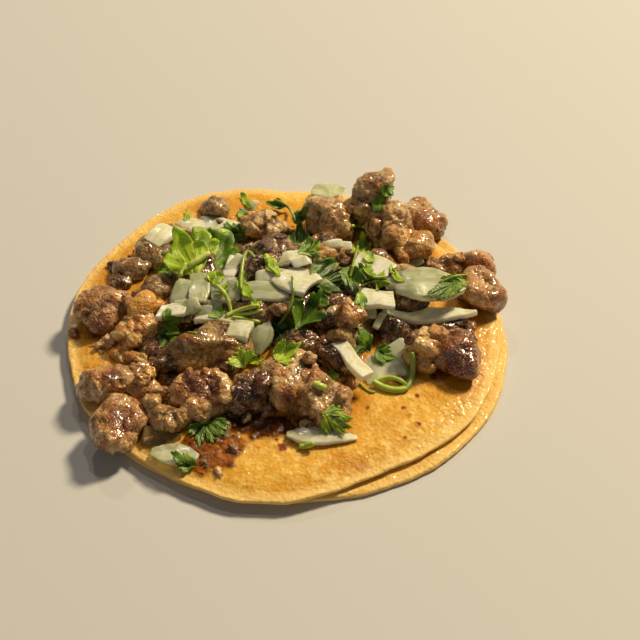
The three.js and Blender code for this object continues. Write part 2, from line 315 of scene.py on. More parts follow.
def ramp(value, start_and_full, most=1):
    """0 where a value starts and most where it is full, with a soft rise between them."""
    settings = {"interpolation_type": "SMOOTHSTEP"}
    made = add_node(value.id_data, "MapRange", settings, Value=value)
    made.inputs["From Min"].default_value = start_and_full[0]
    made.inputs["From Max"].default_value = start_and_full[1]
    made.inputs["To Max"].default_value = most
    return made.outputs["Result"]


def blend(share, *colours):
    """The second colour laid on the first by a share. Each is another node's output, or a colour
    from 0-255 screen values."""
    ready = [c if isinstance(c, bpy.types.NodeSocket) else colour(c) for c in colours]
    settings = {"data_type": "RGBA"}
    made = add_node(share.id_data, "Mix", settings, i0=share, i6=ready[0], i7=ready[1])
    return made.outputs[2]


def times(a, b):
    """The product of a node's output and another output or a number."""
    return add_node(a.id_data, "Math", {"operation": "MULTIPLY"}, i0=a, i1=b).outputs[0]


def plus(a, b):
    """The sum of two outputs, at most 1."""
    settings = {"operation": "ADD", "use_clamp": True}
    return add_node(a.id_data, "Math", settings, i0=a, i1=b).outputs[0]


def painted(tree, name):
    """What the mesh says in one of its attributes."""
    return add_node(tree, "Attribute", {"attribute_name": name}).outputs["Fac"]


def place_of(tree):
    """Where on its piece a point lies, in metres."""
    return add_node(tree, "TexCoord").outputs["Object"]


def bumps(height, depth, under=None):
    """A normal from a height texture, with bumps of a depth in mm, over other bumps if given."""
    more = {"Normal": under} if under else {}
    made = add_node(height.id_data, "Bump", Height=height, Distance=depth * MM, **more)
    return made.outputs["Normal"]


def surface(tree, **inputs):
    """The shader of a material, plugged into its output. A wet coat follows its bumps, unless it
    has bumps of its own."""
    if "Normal" in inputs:
        inputs.setdefault("Coat_Normal", inputs["Normal"])
    shader = add_node(tree, "BsdfPrincipled", **inputs)
    add_node(tree, "OutputMaterial", Surface=shader.outputs["BSDF"])


def tortilla_material():
    """Gold, floury corn dough, with oil, juice, painted shade and toast where a tortilla is painted
    with them.
    """
    material = new_material("corn_tortilla")
    tree = material.node_tree
    place = place_of(tree)
    clouds = clouds_of(place, size=12, Detail=4, Roughness=0.6)
    flour = clouds_of(place, size=2.4, Detail=4, Roughness=0.7)
    grain = cells_of(place, size=0.9)
    drops = cells_of(place, size=1.1)
    patches = blend(ramp(clouds, GOLD_FROM), DOUGH_DEEP, DOUGH_GOLD)
    floury = times(ramp(flour, FLOURY_FROM), ramp(clouds, FLOURY_WITHIN))
    flecked = blend(floury, patches, DOUGH_PALE)
    oiled = blend(painted(tree, "oiled"), flecked, DOUGH_OILED)
    edged = blend(painted(tree, "edge"), oiled, DOUGH_EDGE)
    thick = times(painted(tree, "juicy"), ramp(flour, THICK_JUICE_FROM))
    brown = ramp(flour, BROWN_JUICE_FROM)
    fresh = blend(brown, JUICE_AMBER, JUICE_BROWN)
    # Dark juice: partly burnt, partly painted shade at the meat.
    juice = blend(painted(tree, "burnt"), fresh, BURNT_AND_SHADED_JUICE)
    juicy = blend(thick, edged, juice)
    toasted = painted(tree, "toasted")
    browned = blend(toasted, juicy, TOAST_BROWN)
    charred = blend(ramp(toasted, TOAST_DARK_FROM), browned, TOAST_DARK)
    pebbles = bumps(grain, depth=0.2)
    skin = bumps(flour, depth=0.25, under=pebbles)
    wetness = plus(painted(tree, "oiled"), painted(tree, "juicy"))
    rough = add_node(tree, "MapRange", Value=wetness)
    rough.inputs["To Min"].default_value = DRY_ROUGHNESS
    rough.inputs["To Max"].default_value = WET_ROUGHNESS
    surface(
        tree,
        Base_Color=charred,
        Roughness=rough.outputs["Result"],
        Normal=skin,
        Specular_IOR_Level=0.15,
        Subsurface_Weight=0.15,
        Subsurface_Radius=(1.0, 0.6, 0.25),
        Subsurface_Scale=1.2 * MM,
        Coat_Weight=0.3,
        Coat_Roughness=0.08,
        Coat_IOR=1.4,
        Coat_Normal=bumps(drops, depth=0.3),
    )
    return material


def new_piece(name, corners, faces, material, slot, replaced=(), **paint):
    """A finished piece of the taco. Each paint is an attribute, with a value for each corner."""
    mesh = bpy.data.meshes.new(name)
    mesh.from_pydata(np.asarray(corners).tolist(), [], faces)
    mesh.materials.append(material)
    mesh.shade_smooth()
    for label, values in paint.items():
        mesh.attributes.new(label, "FLOAT", "POINT").data.foreach_set("value", values)
    made = bpy.data.objects.new(name, mesh)
    bpy.context.scene.collection.objects.link(made)
    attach(made, "root")
    if replaced:
        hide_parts(*replaced)


def node_points(name):
    """The corners of a CAD node."""
    points = np.empty(len(frame["nodes"][name].data.vertices) * 3)
    frame["nodes"][name].data.vertices.foreach_get("co", points)
    return points.reshape(-1, 3)


def edge_of(node):
    """The middle of a CAD tortilla and its radius at each angle of the fine mesh."""
    points = node_points(node)
    middle = (points.min(0) + points.max(0)) / 2
    offset = points[:, :2] - middle[:2]
    angle = np.arctan2(offset[:, 1], offset[:, 0])
    radius = np.hypot(offset[:, 0], offset[:, 1])
    # The corner farthest out at each step round the rim.
    step = np.round(angle / math.tau * RIM_STEPS).astype(int) % RIM_STEPS
    outer = [max(np.flatnonzero(step == s), key=lambda i: radius[i]) for s in range(RIM_STEPS)]
    outer.sort(key=lambda i: angle[i])
    # A smooth edge through those corners.
    fine = np.arange(TORTILLA_SEGMENTS) / TORTILLA_SEGMENTS * math.tau - math.pi
    coarse = np.interp(fine, angle[outer], radius[outer], period=math.tau)
    waves = np.fft.rfft(coarse)
    waves[RIM_WAVES:] = 0
    return middle, fine, np.fft.irfft(waves, TORTILLA_SEGMENTS)


def ring_faces(rings, sides):
    """The faces over rings of corners that follow one another, with a cap at each end."""
    faces = []
    for ring in range(rings - 1):
        for side in range(sides):
            here = ring * sides + side
            beside = ring * sides + (side + 1) % sides
            faces.append((here, beside, beside + sides, here + sides))
    faces.append(tuple(range(sides - 1, -1, -1)))
    faces.append(tuple(range((rings - 1) * sides, rings * sides)))
    return faces


def node_thickness(name):
    """How thick the dough of a CAD tortilla is: the height that most of its top corners have."""
    heights = np.round(node_points(name)[:, 2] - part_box(name)[0].z, 5)
    values, counts = np.unique(heights[heights > 1 * MM], return_counts=True)
    return values[np.argmax(counts)]


def dough_rings(thick, thinner, hidden, radius):
    """The rings from under the dough, round its rim and over its top to the middle. Each has its
    share of the radius, how far it is set in from there, and its height."""
    half_rim = (thick - thinner) / 2
    rings = [(share, 0, 0) for share in UNDER_RINGS]
    for turn in np.linspace(-math.pi / 2, math.pi / 2, RIM_ROUND + 1):
        rings.append((1, half_rim * (1 - math.cos(turn)), half_rim * (1 + math.sin(turn))))
    fine_rings = int((1 - hidden) * radius / FINE_RING)
    for i in range(1, fine_rings + 1):
        share = 1 - (1 - hidden) * i / fine_rings
        rings.append((share, half_rim, thick - thinner * smoothstep(*RIM_SLOPE, share)))
    return rings + [(share * hidden, 0, thick) for share in MIDDLE_RINGS]


def patch_cover(corners, pixel, height, size, core, wander):
    """How fully a ragged patch covers each corner: 1 in its core and 0 beyond its radius in mm."""
    distance = np.linalg.norm(corners - np.array(seen_at_height(pixel, height)), axis=1) * wander
    return 1 - smoothstep(core, 1, distance / (size * MM))


def toast_paint(corners, height):
    """Where the dough is toasted, as seen on its top at a height."""
    toasted = np.zeros(len(corners))
    wander = 1 + TOAST_RAGGED * noise(corners, TOAST_PATCH, seed=31)
    for pixel, size, strength in TOASTED_SPOTS:
        cover = patch_cover(corners, pixel, height, size, TOAST_CORE, wander)
        toasted = np.maximum(toasted, strength * cover)
    return toasted


def juice_paint(corners, height):
    """Where the dough is oily, where juice lies on it, and where that juice is dark: burnt, and in
    painted shade at the meat.
    """
    near_meat = np.array([MEAT_FEET.find(point)[2] for point in corners])
    shaded = np.exp(-near_meat / OIL_REACH) + OIL_UNEVEN * noise(corners, OIL_PATCH, seed=41)
    # Painted shade: darker close to the meat's foot.
    burnt = np.exp(-near_meat / JUICE_REACH)
    near, far = JUICE_ROUND_MEAT
    puddle = near * burnt + far + JUICE_UNEVEN * noise(corners, JUICE_PATCH, seed=42)
    wander = 1 + PUDDLE_RAGGED * noise(corners, JUICE_PATCH, seed=43)
    for pixel, size, burn in JUICE_SPOTS:
        cover = patch_cover(corners, pixel, height, size, PUDDLE_CORE, wander)
        puddle = np.maximum(puddle, cover)
        burnt = np.maximum(burnt, burn * cover)
    return smoothstep(*OILED_FROM, shaded), smoothstep(*JUICY_FROM, puddle), burnt


def tortilla(name, hidden, seed):
    """A fine tortilla in the place of its CAD node, its top coarsely meshed where it is hidden."""
    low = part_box(name)[0].z
    thick = node_thickness(name)
    middle, angles, radii = edge_of(name)
    rings = dough_rings(thick, RIM_THINNER[name], hidden, radii.mean())
    share, inset, rise = (np.array(column)[:, None] for column in zip(*rings))
    radius = (radii - inset) * share
    across = middle[0] + radius * np.cos(angles)
    back = middle[1] + radius * np.sin(angles)
    corners = np.stack([across, back, low + rise + 0 * radius], axis=-1).reshape(-1, 3)

    outness = np.repeat(share.ravel(), TORTILLA_SEGMENTS)
    top = smoothstep(*TOP_FACE, np.repeat(rise.ravel() / thick, TORTILLA_SEGMENTS))
    rim = smoothstep(*RIM_WAVY, outness)
    outward = corners - middle
    outward[:, 2] = 0
    outward /= np.linalg.norm(outward, axis=1, keepdims=True)
    corners += outward * (rim * relief(corners, EDGE_RELIEF, seed))[:, None]
    corners[:, 2] += top * relief(corners, DOUGH_RELIEF, seed)
    turn = np.arctan2(outward[:, 1], outward[:, 0])
    from_middle = np.hypot(*(corners - middle)[:, :2].T)
    along_rim = np.stack([from_middle, WRINKLE_TURN * turn, 0 * turn], axis=1)
    wrinkles = relief(along_rim, RIM_WRINKLES, seed)
    corners[:, 2] += top * smoothstep(*RIM_WRINKLED, outness) * wrinkles

    toasted = toast_paint(corners, low + thick)
    oily, juicy, burnt = juice_paint(corners, low + thick)
    juicy *= top
    corners[:, 2] += juicy * (JUICE_DEEP + relief(corners, JUICE_RELIEF, seed=44))
    # Paler rim and its side: partly the dough's own colour, partly a painted highlight.
    side = rim * (1 - (1 - SIDE_ON_TOP) * top)
    edge = side + PALE_ON_TOP * smoothstep(*RIM_PALE, outness) * top
    new_piece(
        name + "_toasted",
        corners,
        ring_faces(len(rings), TORTILLA_SEGMENTS),
        CORN,
        "tortilla",
        [name],
        toasted=toasted * top,
        oiled=oily * top,
        juicy=juicy,
        burnt=burnt,
        edge=np.clip(edge, 0, 1),
    )


def points_tree(points):
    """A tree that finds the nearest of some points."""
    tree = KDTree(len(points))
    for i, point in enumerate(points):
        tree.insert(point, i)
    tree.balance()
    return tree


MEAT_NODES = [name for name in sorted(frame["nodes"]) if name.startswith("meat_")]
MEAT_FEET = points_tree(np.concatenate([node_points(name) for name in MEAT_NODES]))
CORN = tortilla_material()
for seed, (node, hidden) in enumerate(HIDDEN_SHARES.items(), 1):
    tortilla(node, hidden, seed)

# ---- Meat --------------------------------------------------------------------------------------
# Grilled pork, chopped by knife into uneven pieces. The flesh is tan and bulges in soft lobes, the
# faces that met the griddle have a purple-brown crust with an orange rim, and juice and fat make
# all of it glisten.

MEAT_VOXEL = 0.36 * MM
MEAT_SMOOTHING = 2
MEAT_SWELL = 1.2 * MM  # cooked pieces fill the gaps that the CAD pieces keep
MEAT_HELD = 4 * MM  # bending starts from nothing at the foot of a piece and is full this high up
KNIFE_CUTS = 7
CUT_DEPTH = (0.6, 0.92)  # how far out from the middle the cuts run, as shares of the reach
CUT_FLAT = 0.9  # how flat a cut is; 1 is a plane
CUT_SIDEWAYS = (1, 1, 0.6)  # cuts face sideways more than up
FIBRE_SIDEWAYS = (1, 1, 0.4)
TORN_PATCHES = 5.5 * MM
TORN_FROM = (-0.25, 0.25)  # in the noise of that size, where tears start and where they are full
CREASE_WIDTH = 0.25  # mm
FIBRE_STRETCH = 0.75  # share of the length taken out of the noise along the fibres
TEAR_STRETCH = 0.6 * FIBRE_STRETCH
LUMP_RISE = (1.6, -0.4)  # how far a lump rises over a crease, and the height of a crease
TEAR_DROP = (-1.5, 0.45)  # how far a hollow drops under a torn ridge, and the height of a ridge
BEND_SEEDS = (50, 60, 70)  # added to a piece's seed for each direction
ONION_THICK = 1.2 * MM  # meat stays at least this far behind the face of the onion
ONION_SLACK = 1 * MM  # meat that starts this little in front of the onion counts as behind it
TOP = cad_box[1][2] + 0.3 * MM  # nothing rises above this
TOP_ROUND = 3 * MM  # this far under the top, pieces start to flatten towards it
LOWEST = 0.1 * MM

# Relief: rows of size and height, in mm. The first two shift the piece and its lumps sideways.
MEAT_BENDS = [(11, 1.9), (5, 1.0), (2.5, 0.3)]
MEAT_TWIST = [(6, 2.0), (2.6, 0.8)]
MEAT_LUMPS = [(8, 0.85), (3.6, 0.22), (2.0, 0.1)]
MEAT_TEARS = [(5.0, 1.1), (2.4, 0.6), (1.2, 0.28)]
MEAT_FIBRES = [(1.9, 0.14), (1.0, 0.14)]
MEAT_GRAIN = [(1.3, 0.12), (0.8, 0.16)]

# Each look: the flesh, its darker streaks, its browned orange tone, the crust, how much of the
# piece is crusted and how wet it is.
MEAT_LOOKS = {
    "tan": dict(
        flesh=(216, 184, 130), streak=(160, 112, 60), browned=(179, 112, 42), crust=(98, 47, 31),
        seared=0.05, wet=0.5,
    ),
    "brown": dict(
        flesh=(196, 156, 100), streak=(138, 92, 48), browned=(165, 96, 34), crust=(86, 42, 25),
        seared=0.15, wet=0.6,
    ),
    "grey": dict(
        flesh=(176, 146, 100), streak=(114, 82, 48), browned=(138, 86, 36), crust=(80, 46, 26),
        seared=0.1, wet=0.8,
    ),
    "olive": dict(
        flesh=(180, 146, 82), streak=(112, 78, 34), browned=(152, 92, 28), crust=(80, 44, 18),
        seared=0.15, wet=0.8,
    ),
    "dark": dict(
        flesh=(104, 66, 34), streak=(58, 30, 13), browned=(112, 58, 18), crust=(46, 20, 11),
        seared=0.3, wet=1.0,
    ),
    "plum": dict(
        flesh=(164, 114, 74), streak=(106, 62, 38), browned=(138, 78, 36), crust=(92, 42, 33),
        seared=0.3, wet=1.0,
    ),
    "gold": dict(
        flesh=(218, 174, 96), streak=(168, 112, 46), browned=(182, 108, 34), crust=(108, 52, 22),
        seared=0.1, wet=0.7,
    ),
    "amber": dict(
        flesh=(208, 144, 78), streak=(148, 88, 40), browned=(176, 102, 38), crust=(88, 42, 22),
        seared=0.05, wet=0.9,
    ),
    "rosy": dict(
        flesh=(198, 150, 94), streak=(142, 92, 48), browned=(164, 102, 50), crust=(102, 50, 36),
        seared=0.05, wet=0.7,
    ),
    "fat": dict(
        flesh=(236, 180, 92), streak=(222, 152, 58), browned=(214, 132, 44), crust=(190, 104, 36),
        seared=0.0, wet=1.0,
    ),
}
# The dark brown of the painted shade in the meat's creases, hollows and foot.
PAINTED_SHADE_BROWN = (44, 22, 6)
# Cream: the colour of fat, and of the painted highlight on ridges and the painted glints.
CREAM_FAT_AND_HIGHLIGHT = (242, 216, 164)

# Where in the soft clouds and round grains of the meat something starts and where it is full, and
# how strong it is then.
FLESH_FROM = (0.38, 0.6)
MARBLED_FROM = (0.54, 0.66)
MARBLING = 0.6
STREAKED_FROM = (0.5, 0.62)
STREAKING = 0.45
PITTED_FROM = (0.3, 0.6)
PITTING = 0.3
# Tiny cream specks are painted glints of the wet meat.
GLINT_FROM = (0.34, 0.12)  # from the edge of a cell to near its middle
GLINTS_WITHIN = (0.36, 0.52)
GLINTS_PALE = 0.7
UNEVEN_FROM = (0.35, 0.65)
CRUST_UNEVEN = 0.12
CRUST_RIM_FROM = (0.2, 0.5)  # by how seared the meat is
CRUST_RIM = 0.75
CRUSTED_FROM = (0.4, 0.95)
CRUST_MOST = 0.95
MEAT_ROUGHNESS = 0.5
WET_SMOOTHER = 0.1
COAT_LEAST = 0.7

FOOT_DARK = 0.85  # how strongly painted shade darkens the foot of a piece
FOOT_HEIGHT = 0.55  # how far up that goes, as a share of the height of the piece
# Painted shade: the creases and hollows of the meat are darkened.
CREASE_DARK = 0.35
HOLLOW_DARK = 0.7
HOLLOWS = (0.0, -0.9)  # the heights at which hollows start and are full, mm
RIDGES = (0.3, 1.1)  # the same for ridges
# Ridges are paler: partly the meat's cream edges, partly a painted highlight.
RIDGES_PALE = 0.6
DARK_MOST = 0.9
SEAR_PATCH = 8 * MM
SEAR_UNEVEN = 0.5
SEARED_UPWARD = 0.35  # how much more crust a face has that looks up
SEARED_LESS = 0.3
BROWNED_PATCH = 4 * MM
BROWNED_FINE = 1.5 * MM
BROWNED_RAGGED = 0.3
BROWNED_FROM = (0.4, 1.0)
CRUST_FADE = (0.2, 1.1)  # where a crust starts to fade and where it ends, of its radius
CRUST_WANDER = [(3, 0.5), (1.2, 0.3)]  # how its edge wanders: rows of size in mm and share

# The larger pieces: the look of each, and where it differs from the others, how rugged it is (most
# have 1), how many mm more it swells, how much of its height is left since it slumped, and whether
# it was torn off, so that it has no flat sides.
MEAT_PIECES = {
    "meat_front_middle_right": dict(look="brown", swell=1.0),
    "meat_front_middle": dict(look="tan", swell=1.2),
    # The dark look here is partly the meat's own colour, partly painted shade of the deep gap it
    # sits in.
    "meat_front_gap": dict(look="dark", swell=0.5),
    "meat_front_foot": dict(look="brown"),
    "meat_front_left": dict(look="tan"),
    "meat_corner_left": dict(look="rosy", rugged=0.8, swell=-0.4, slumped=0.8, torn=True),
    "meat_left_front": dict(look="tan"),
    "meat_left_strip": dict(look="dark"),
    "meat_left_lump": dict(look="brown"),
    "meat_left_inner": dict(look="gold"),
    "meat_left_edge": dict(look="rosy", rugged=0.8, swell=0.3, slumped=0.7),
    "meat_left_back": dict(look="grey", rugged=0.5),
    "meat_back_left": dict(look="grey", rugged=0.5),
    "meat_left_middle": dict(look="grey", rugged=0.5),
    "meat_back_edge": dict(look="grey"),
    "meat_back_middle": dict(look="tan", rugged=1.3),
    "meat_back_right_foot": dict(look="tan"),
    "meat_back_round": dict(look="tan"),
    "meat_right_back": dict(look="brown", torn=True),
    "meat_right_upper": dict(look="tan"),
    "meat_right_lumps": dict(look="gold", rugged=1.2),
    "meat_right_flat": dict(look="brown"),
    "meat_right_rim": dict(look="amber"),
    "meat_right_edge": dict(look="rosy", rugged=0.55),
    "meat_right_bar": dict(look="dark"),
    "meat_right_dark": dict(look="plum", rugged=0.35, swell=0.3),
    "meat_right_gold": dict(look="gold", rugged=1.2),
    "meat_right_front": dict(look="dark"),
    "meat_middle_right": dict(look="olive"),
    "meat_front_slant": dict(look="dark"),
    "meat_middle_front": dict(look="dark"),
    "meat_top_left": dict(look="olive", rugged=0.7, torn=True),
    "meat_fat_arch": dict(look="fat", rugged=0.15, swell=-0.6, torn=True),
    "meat_top_back": dict(look="tan", torn=True),
}

# Crusts of known pieces: the pixel of the middle, the radius in mm and the strength.
CRUSTS = [
    ((198, 381), 8.5, 0.85),
    ((212, 391), 4.5, 1.0),
    ((180, 372), 4.5, 0.6),
    ((120, 420), 6.5, 0.85),
    ((110, 378), 4.5, 0.85),
    ((90, 374), 3.0, 0.6),
    ((98, 324), 5.5, 0.65),
    ((112, 303), 3.0, 0.6),
    ((460, 360), 7.5, 1.0),
    ((394, 325), 6.0, 0.8),
    ((455, 322), 4.0, 0.8),
    ((288, 398), 4.5, 0.9),
    ((312, 372), 3.5, 0.5),
    ((427, 214), 5.0, 0.6),
    ((442, 222), 3.5, 0.6),
    ((378, 186), 3.0, 0.5),
    ((482, 260), 4.0, 0.6),
    ((332, 350), 5.0, 0.8),
    # The crust at (284, 372) paints a purple-grey sheen: a painted reflection.
    ((284, 372), 3.0, 0.5),
    ((250, 395), 6.0, 0.8),
    ((224, 360), 3.0, 0.55),
    ((140, 396), 3.0, 0.5),
    ((216, 206), 3.0, 0.5),
    ((128, 264), 3.0, 0.5),
    ((152, 250), 3.0, 0.45),
]


def meat_material(name, look):
    """The material of a look. Where a piece is seared or lies in painted shade comes from its
    paint.
    """
    material = new_material("meat_" + name)
    tree = material.node_tree
    place = place_of(tree)
    mottle = clouds_of(place, size=5, Detail=5, Roughness=0.6)
    fat = clouds_of(place, size=3.1, Detail=3, Distortion=0.6)
    fine = clouds_of(place, size=1.1, Detail=2, Distortion=0.4)
    grain = cells_of(place, size=0.55)
    drops = cells_of(place, size=0.65)
    meat = blend(ramp(mottle, FLESH_FROM), look["streak"], look["flesh"])
    marbled = blend(ramp(fat, MARBLED_FROM, MARBLING), meat, CREAM_FAT_AND_HIGHLIGHT)
    hollows = ramp(fine, STREAKED_FROM, STREAKING)
    pits = ramp(grain, PITTED_FROM, PITTING)
    streaked = blend(plus(hollows, pits), marbled, look["streak"])
    speck = cells_of(place, size=0.7, feature="F1")
    # Paler ridges: partly cream edges, partly a painted highlight.
    paler = blend(painted(tree, "proud"), streaked, CREAM_FAT_AND_HIGHLIGHT)
    edged = blend(painted(tree, "browned"), paler, look["browned"])
    uneven = ramp(fine, UNEVEN_FROM, CRUST_UNEVEN)
    charred = plus(painted(tree, "seared"), uneven)
    rim = ramp(charred, CRUST_RIM_FROM, CRUST_RIM)
    rimmed = blend(rim, edged, look["browned"])
    crust = ramp(charred, CRUSTED_FROM, CRUST_MOST)
    crusted = blend(crust, rimmed, look["crust"])
    # Painted glints: tiny cream specks over the meat.
    glint_share = ramp(mottle, GLINTS_WITHIN, GLINTS_PALE)
    painted_glints = times(ramp(speck, GLINT_FROM), glint_share)
    glinted = blend(painted_glints, crusted, CREAM_FAT_AND_HIGHLIGHT)
    # Painted shade: creases, hollows and the foot of the piece darken to dark brown.
    juicy = blend(painted(tree, "crease"), glinted, PAINTED_SHADE_BROWN)
    surface(
        tree,
        Base_Color=juicy,
        Roughness=MEAT_ROUGHNESS - WET_SMOOTHER * look["wet"],
        Normal=bumps(grain, depth=0.22, under=bumps(fine, depth=0.4)),
        Specular_IOR_Level=0.3,
        Subsurface_Weight=0.2,
        Subsurface_Radius=(1.0, 0.45, 0.2),
        Subsurface_Scale=1.2 * MM,
        Coat_Weight=COAT_LEAST + (1 - COAT_LEAST) * look["wet"],
        Coat_Roughness=0.06,
        Coat_IOR=1.55,
        Coat_Normal=bumps(drops, depth=0.13),
    )
    return material


def copy_of_node(name, voxel, smoothing):
    """The corners and faces of a finely meshed copy of a CAD node, with its facets rounded."""
    raw = bpy.data.objects.new(name + "_raw", frame["nodes"][name].data.copy())
    bpy.context.scene.collection.objects.link(raw)
    remesh = raw.modifiers.new("remesh", "REMESH")
    remesh.mode = "VOXEL"
    remesh.voxel_size = voxel
    smooth = raw.modifiers.new("smooth", "SMOOTH")
    smooth.iterations = smoothing
    shaped = raw.evaluated_get(bpy.context.evaluated_depsgraph_get()).to_mesh()
    points = np.empty(len(shaped.vertices) * 3)
    shaped.vertices.foreach_get("co", points)
    faces = [tuple(face.vertices) for face in shaped.polygons]
    bpy.data.objects.remove(raw)
    return points.reshape(-1, 3), faces


def normals_of(points, faces):
    """The normal at each corner."""
    mesh = bpy.data.meshes.new("normals")
    mesh.from_pydata(points.tolist(), [], faces)
    normals = np.empty(len(points) * 3)
    mesh.vertex_normals.foreach_get("vector", normals)
    bpy.data.meshes.remove(mesh)
    return normals.reshape(-1, 3)


def bends(points, layers, seed):
    """A shift of each point in all three directions, by smooth noise."""
    return np.stack([relief(points, layers, seed + axis) for axis in BEND_SEEDS], axis=1)


def lumps(points, layers, seed):
    """Rounded lumps: how far each point stands up, and how near it is to a crease between them."""
    rise, crease = 0, 0
    for i, (size, height) in enumerate(layers):
        swell = np.abs(noise(points, size * MM, seed + i))
        rise += height * MM * (LUMP_RISE[0] * swell + LUMP_RISE[1])
        deep = 1 - smoothstep(0, CREASE_WIDTH / size, swell)
        crease = np.maximum(crease, deep * min(1, height))
    return rise, crease


def tears(points, layers, seed):
    """Sharp ragged ridges with rounded hollows between them, as where meat was pulled apart."""
    drop, top = TEAR_DROP
    return sum(
        height * MM * (top + drop * np.abs(noise(points, size * MM, seed + i)))
        for i, (size, height) in enumerate(layers)
    )


def knife_cuts(points, cuts, draw):
    """Presses the outside of a piece in to a few planes, as a knife leaves it."""
    middle = (points.min(0) + points.max(0)) / 2
    for _ in range(cuts):
        facing = draw.normal(size=3) * CUT_SIDEWAYS
        facing /= np.linalg.norm(facing)
        reach = (points - middle) @ facing
        beyond = np.clip(reach - draw.uniform(*CUT_DEPTH) * reach.max(), 0, None)
        points = points - np.outer(CUT_FLAT * beyond, facing)
    return points


def meat_shape(points, faces, seed, cuts=KNIFE_CUTS, rugged=1):
    """Turns a smooth solid into chopped meat: its points, its creases and its ridges."""
    draw = np.random.default_rng(seed)
    off_ground = smoothstep(0, MEAT_HELD, points[:, 2] - points[:, 2].min())[:, None]
    points = knife_cuts(points, cuts, draw)
    points = points + off_ground * bends(points, MEAT_BENDS, seed)
    twisted = points + bends(points, MEAT_TWIST, seed + 9)
    bulge, crease = lumps(twisted, MEAT_LUMPS, seed)
    bulge *= rugged
    points = points + normals_of(points, faces) * (MEAT_SWELL + bulge)[:, None]
    fibre = draw.normal(size=3) * FIBRE_SIDEWAYS
    fibre /= np.linalg.norm(fibre)
    along = np.outer(twisted @ fibre, fibre)
    torn = smoothstep(*TORN_FROM, noise(points, TORN_PATCHES, seed + 40))
    rough = rugged * torn * tears(twisted - TEAR_STRETCH * along, MEAT_TEARS, seed + 41)
    grain = lumps(twisted - FIBRE_STRETCH * along, MEAT_FIBRES, seed + 20)[0]
    grain += relief(points, MEAT_GRAIN, seed + 30)
    rough += math.sqrt(rugged) * grain
    points = points + normals_of(points, faces) * rough[:, None]
    rise = (bulge + rough) / MM
    # Painted shade in the creases and hollows.
    dark = CREASE_DARK * rugged * crease + HOLLOW_DARK * smoothstep(*HOLLOWS, rise)
    return points, dict(crease=np.clip(dark, 0, 1), proud=RIDGES_PALE * smoothstep(*RIDGES, rise))


def meat_paint(points, faces, ridges, seed, seared, crusts=()):
    """What the meat's material needs: where it is seared, browned, darkened by painted shade and
    pale.
    """
    upward = normals_of(points, faces)[:, 2]
    patchy = SEAR_UNEVEN * noise(points, SEAR_PATCH, seed)
    sear = patchy + SEARED_UPWARD * upward + seared - SEARED_LESS
    wander = 1 + relief(points, CRUST_WANDER, seed + 3) / MM
    for spot, size, strength in crusts:
        distance = np.linalg.norm(points - spot, axis=1) * wander
        fade = smoothstep(*CRUST_FADE, distance / (size * MM))
        sear = np.maximum(sear, strength * (1 - fade))
    patches = noise(points, BROWNED_PATCH, seed + 5)
    patches += BROWNED_RAGGED * noise(points, BROWNED_FINE, seed)
    height = (points[:, 2] - points[:, 2].min()) / np.ptp(points[:, 2])
    low = 1 - smoothstep(0, FOOT_HEIGHT, height)
    return dict(
        seared=np.clip(sear, 0, 1),
        browned=smoothstep(*BROWNED_FROM, patches),
        # Painted shade, strongest at the foot of the piece.
        crease=np.clip(ridges["crease"] + FOOT_DARK * low, 0, DARK_MOST),
        proud=ridges["proud"],
    )


def behind_onion(before, after):
    """Pushes grown meat back behind the onion that was in front of it before it grew."""
    eye = np.array(camera.location)
    rays = after - eye
    depth = np.linalg.norm(rays, axis=1)
    rays /= depth[:, None]
    was = np.linalg.norm(before - eye, axis=1)
    for i, ray in enumerate(rays):
        hit = ONION_TREE.ray_cast(camera.location, Vector(ray))
        if hit[0] and hit[3] - ONION_SLACK < was[i]:
            depth[i] = max(depth[i], hit[3] + ONION_THICK)
    return eye + rays * depth[:, None]


def in_bounds(points):
    """Keeps points above the table and below the top of the taco."""
    across, back, height = points.T
    beyond = np.clip(height - TOP + TOP_ROUND, 0, None)
    rounded = np.minimum(height, TOP - TOP_ROUND) + TOP_ROUND * np.tanh(beyond / TOP_ROUND)
    return np.stack([across, back, np.maximum(rounded, LOWEST)], axis=1)


def slot_of(node):
    """The record's material slot of a CAD node."""
    parts = frame["record"]["subparts"]
    return next(part["material_slot"] for part in parts if part["node"] == node)


surfaces = []


def lay(name, points, faces, *rest, **paint):
    """Adds a piece to the taco, and to the surfaces that later pieces can be laid on."""
    surfaces.append(BVHTree.FromPolygons(points.tolist(), faces))
    new_piece(name, points, faces, *rest, **paint)


def first_surface(origin, direction):
    """Where a line first meets the pieces laid so far: the point, its normal and the distance."""
    hits = [tree.ray_cast(origin, direction) for tree in surfaces]
    hits = [hit for hit in hits if hit[0] is not None]
    if not hits:
        return None
    point, normal, _, distance = min(hits, key=lambda hit: hit[3])
    return point, normal, distance


def meat_piece(node, seed, look, rugged=1, swell=0, slumped=1, torn=False):
    """A large piece of meat in the place of its CAD node."""
    smooth, faces = copy_of_node(node, MEAT_VOXEL, MEAT_SMOOTHING)
    smooth += normals_of(smooth, faces) * swell * MM
    foot = smooth[:, 2].min()
    smooth[:, 2] = foot + (smooth[:, 2] - foot) * slumped
    cuts = 0 if torn else KNIFE_CUTS
    points, ridges = meat_shape(smooth, faces, seed, cuts, rugged)
    points = in_bounds(behind_onion(smooth, points))
    own = BVHTree.FromPolygons(points.tolist(), faces)
    crusts = []
    for pixel, size, strength in CRUSTS:
        hit = own.ray_cast(camera.location, sight_line(pixel))[0]
        if hit:
            crusts.append((np.array(hit), size, strength))
    paint = meat_paint(points, faces, ridges, seed, MEAT_LOOKS[look]["seared"], crusts)
    lay(node + "_cooked", points, faces, MEAT[look], slot_of(node), [node], **paint)


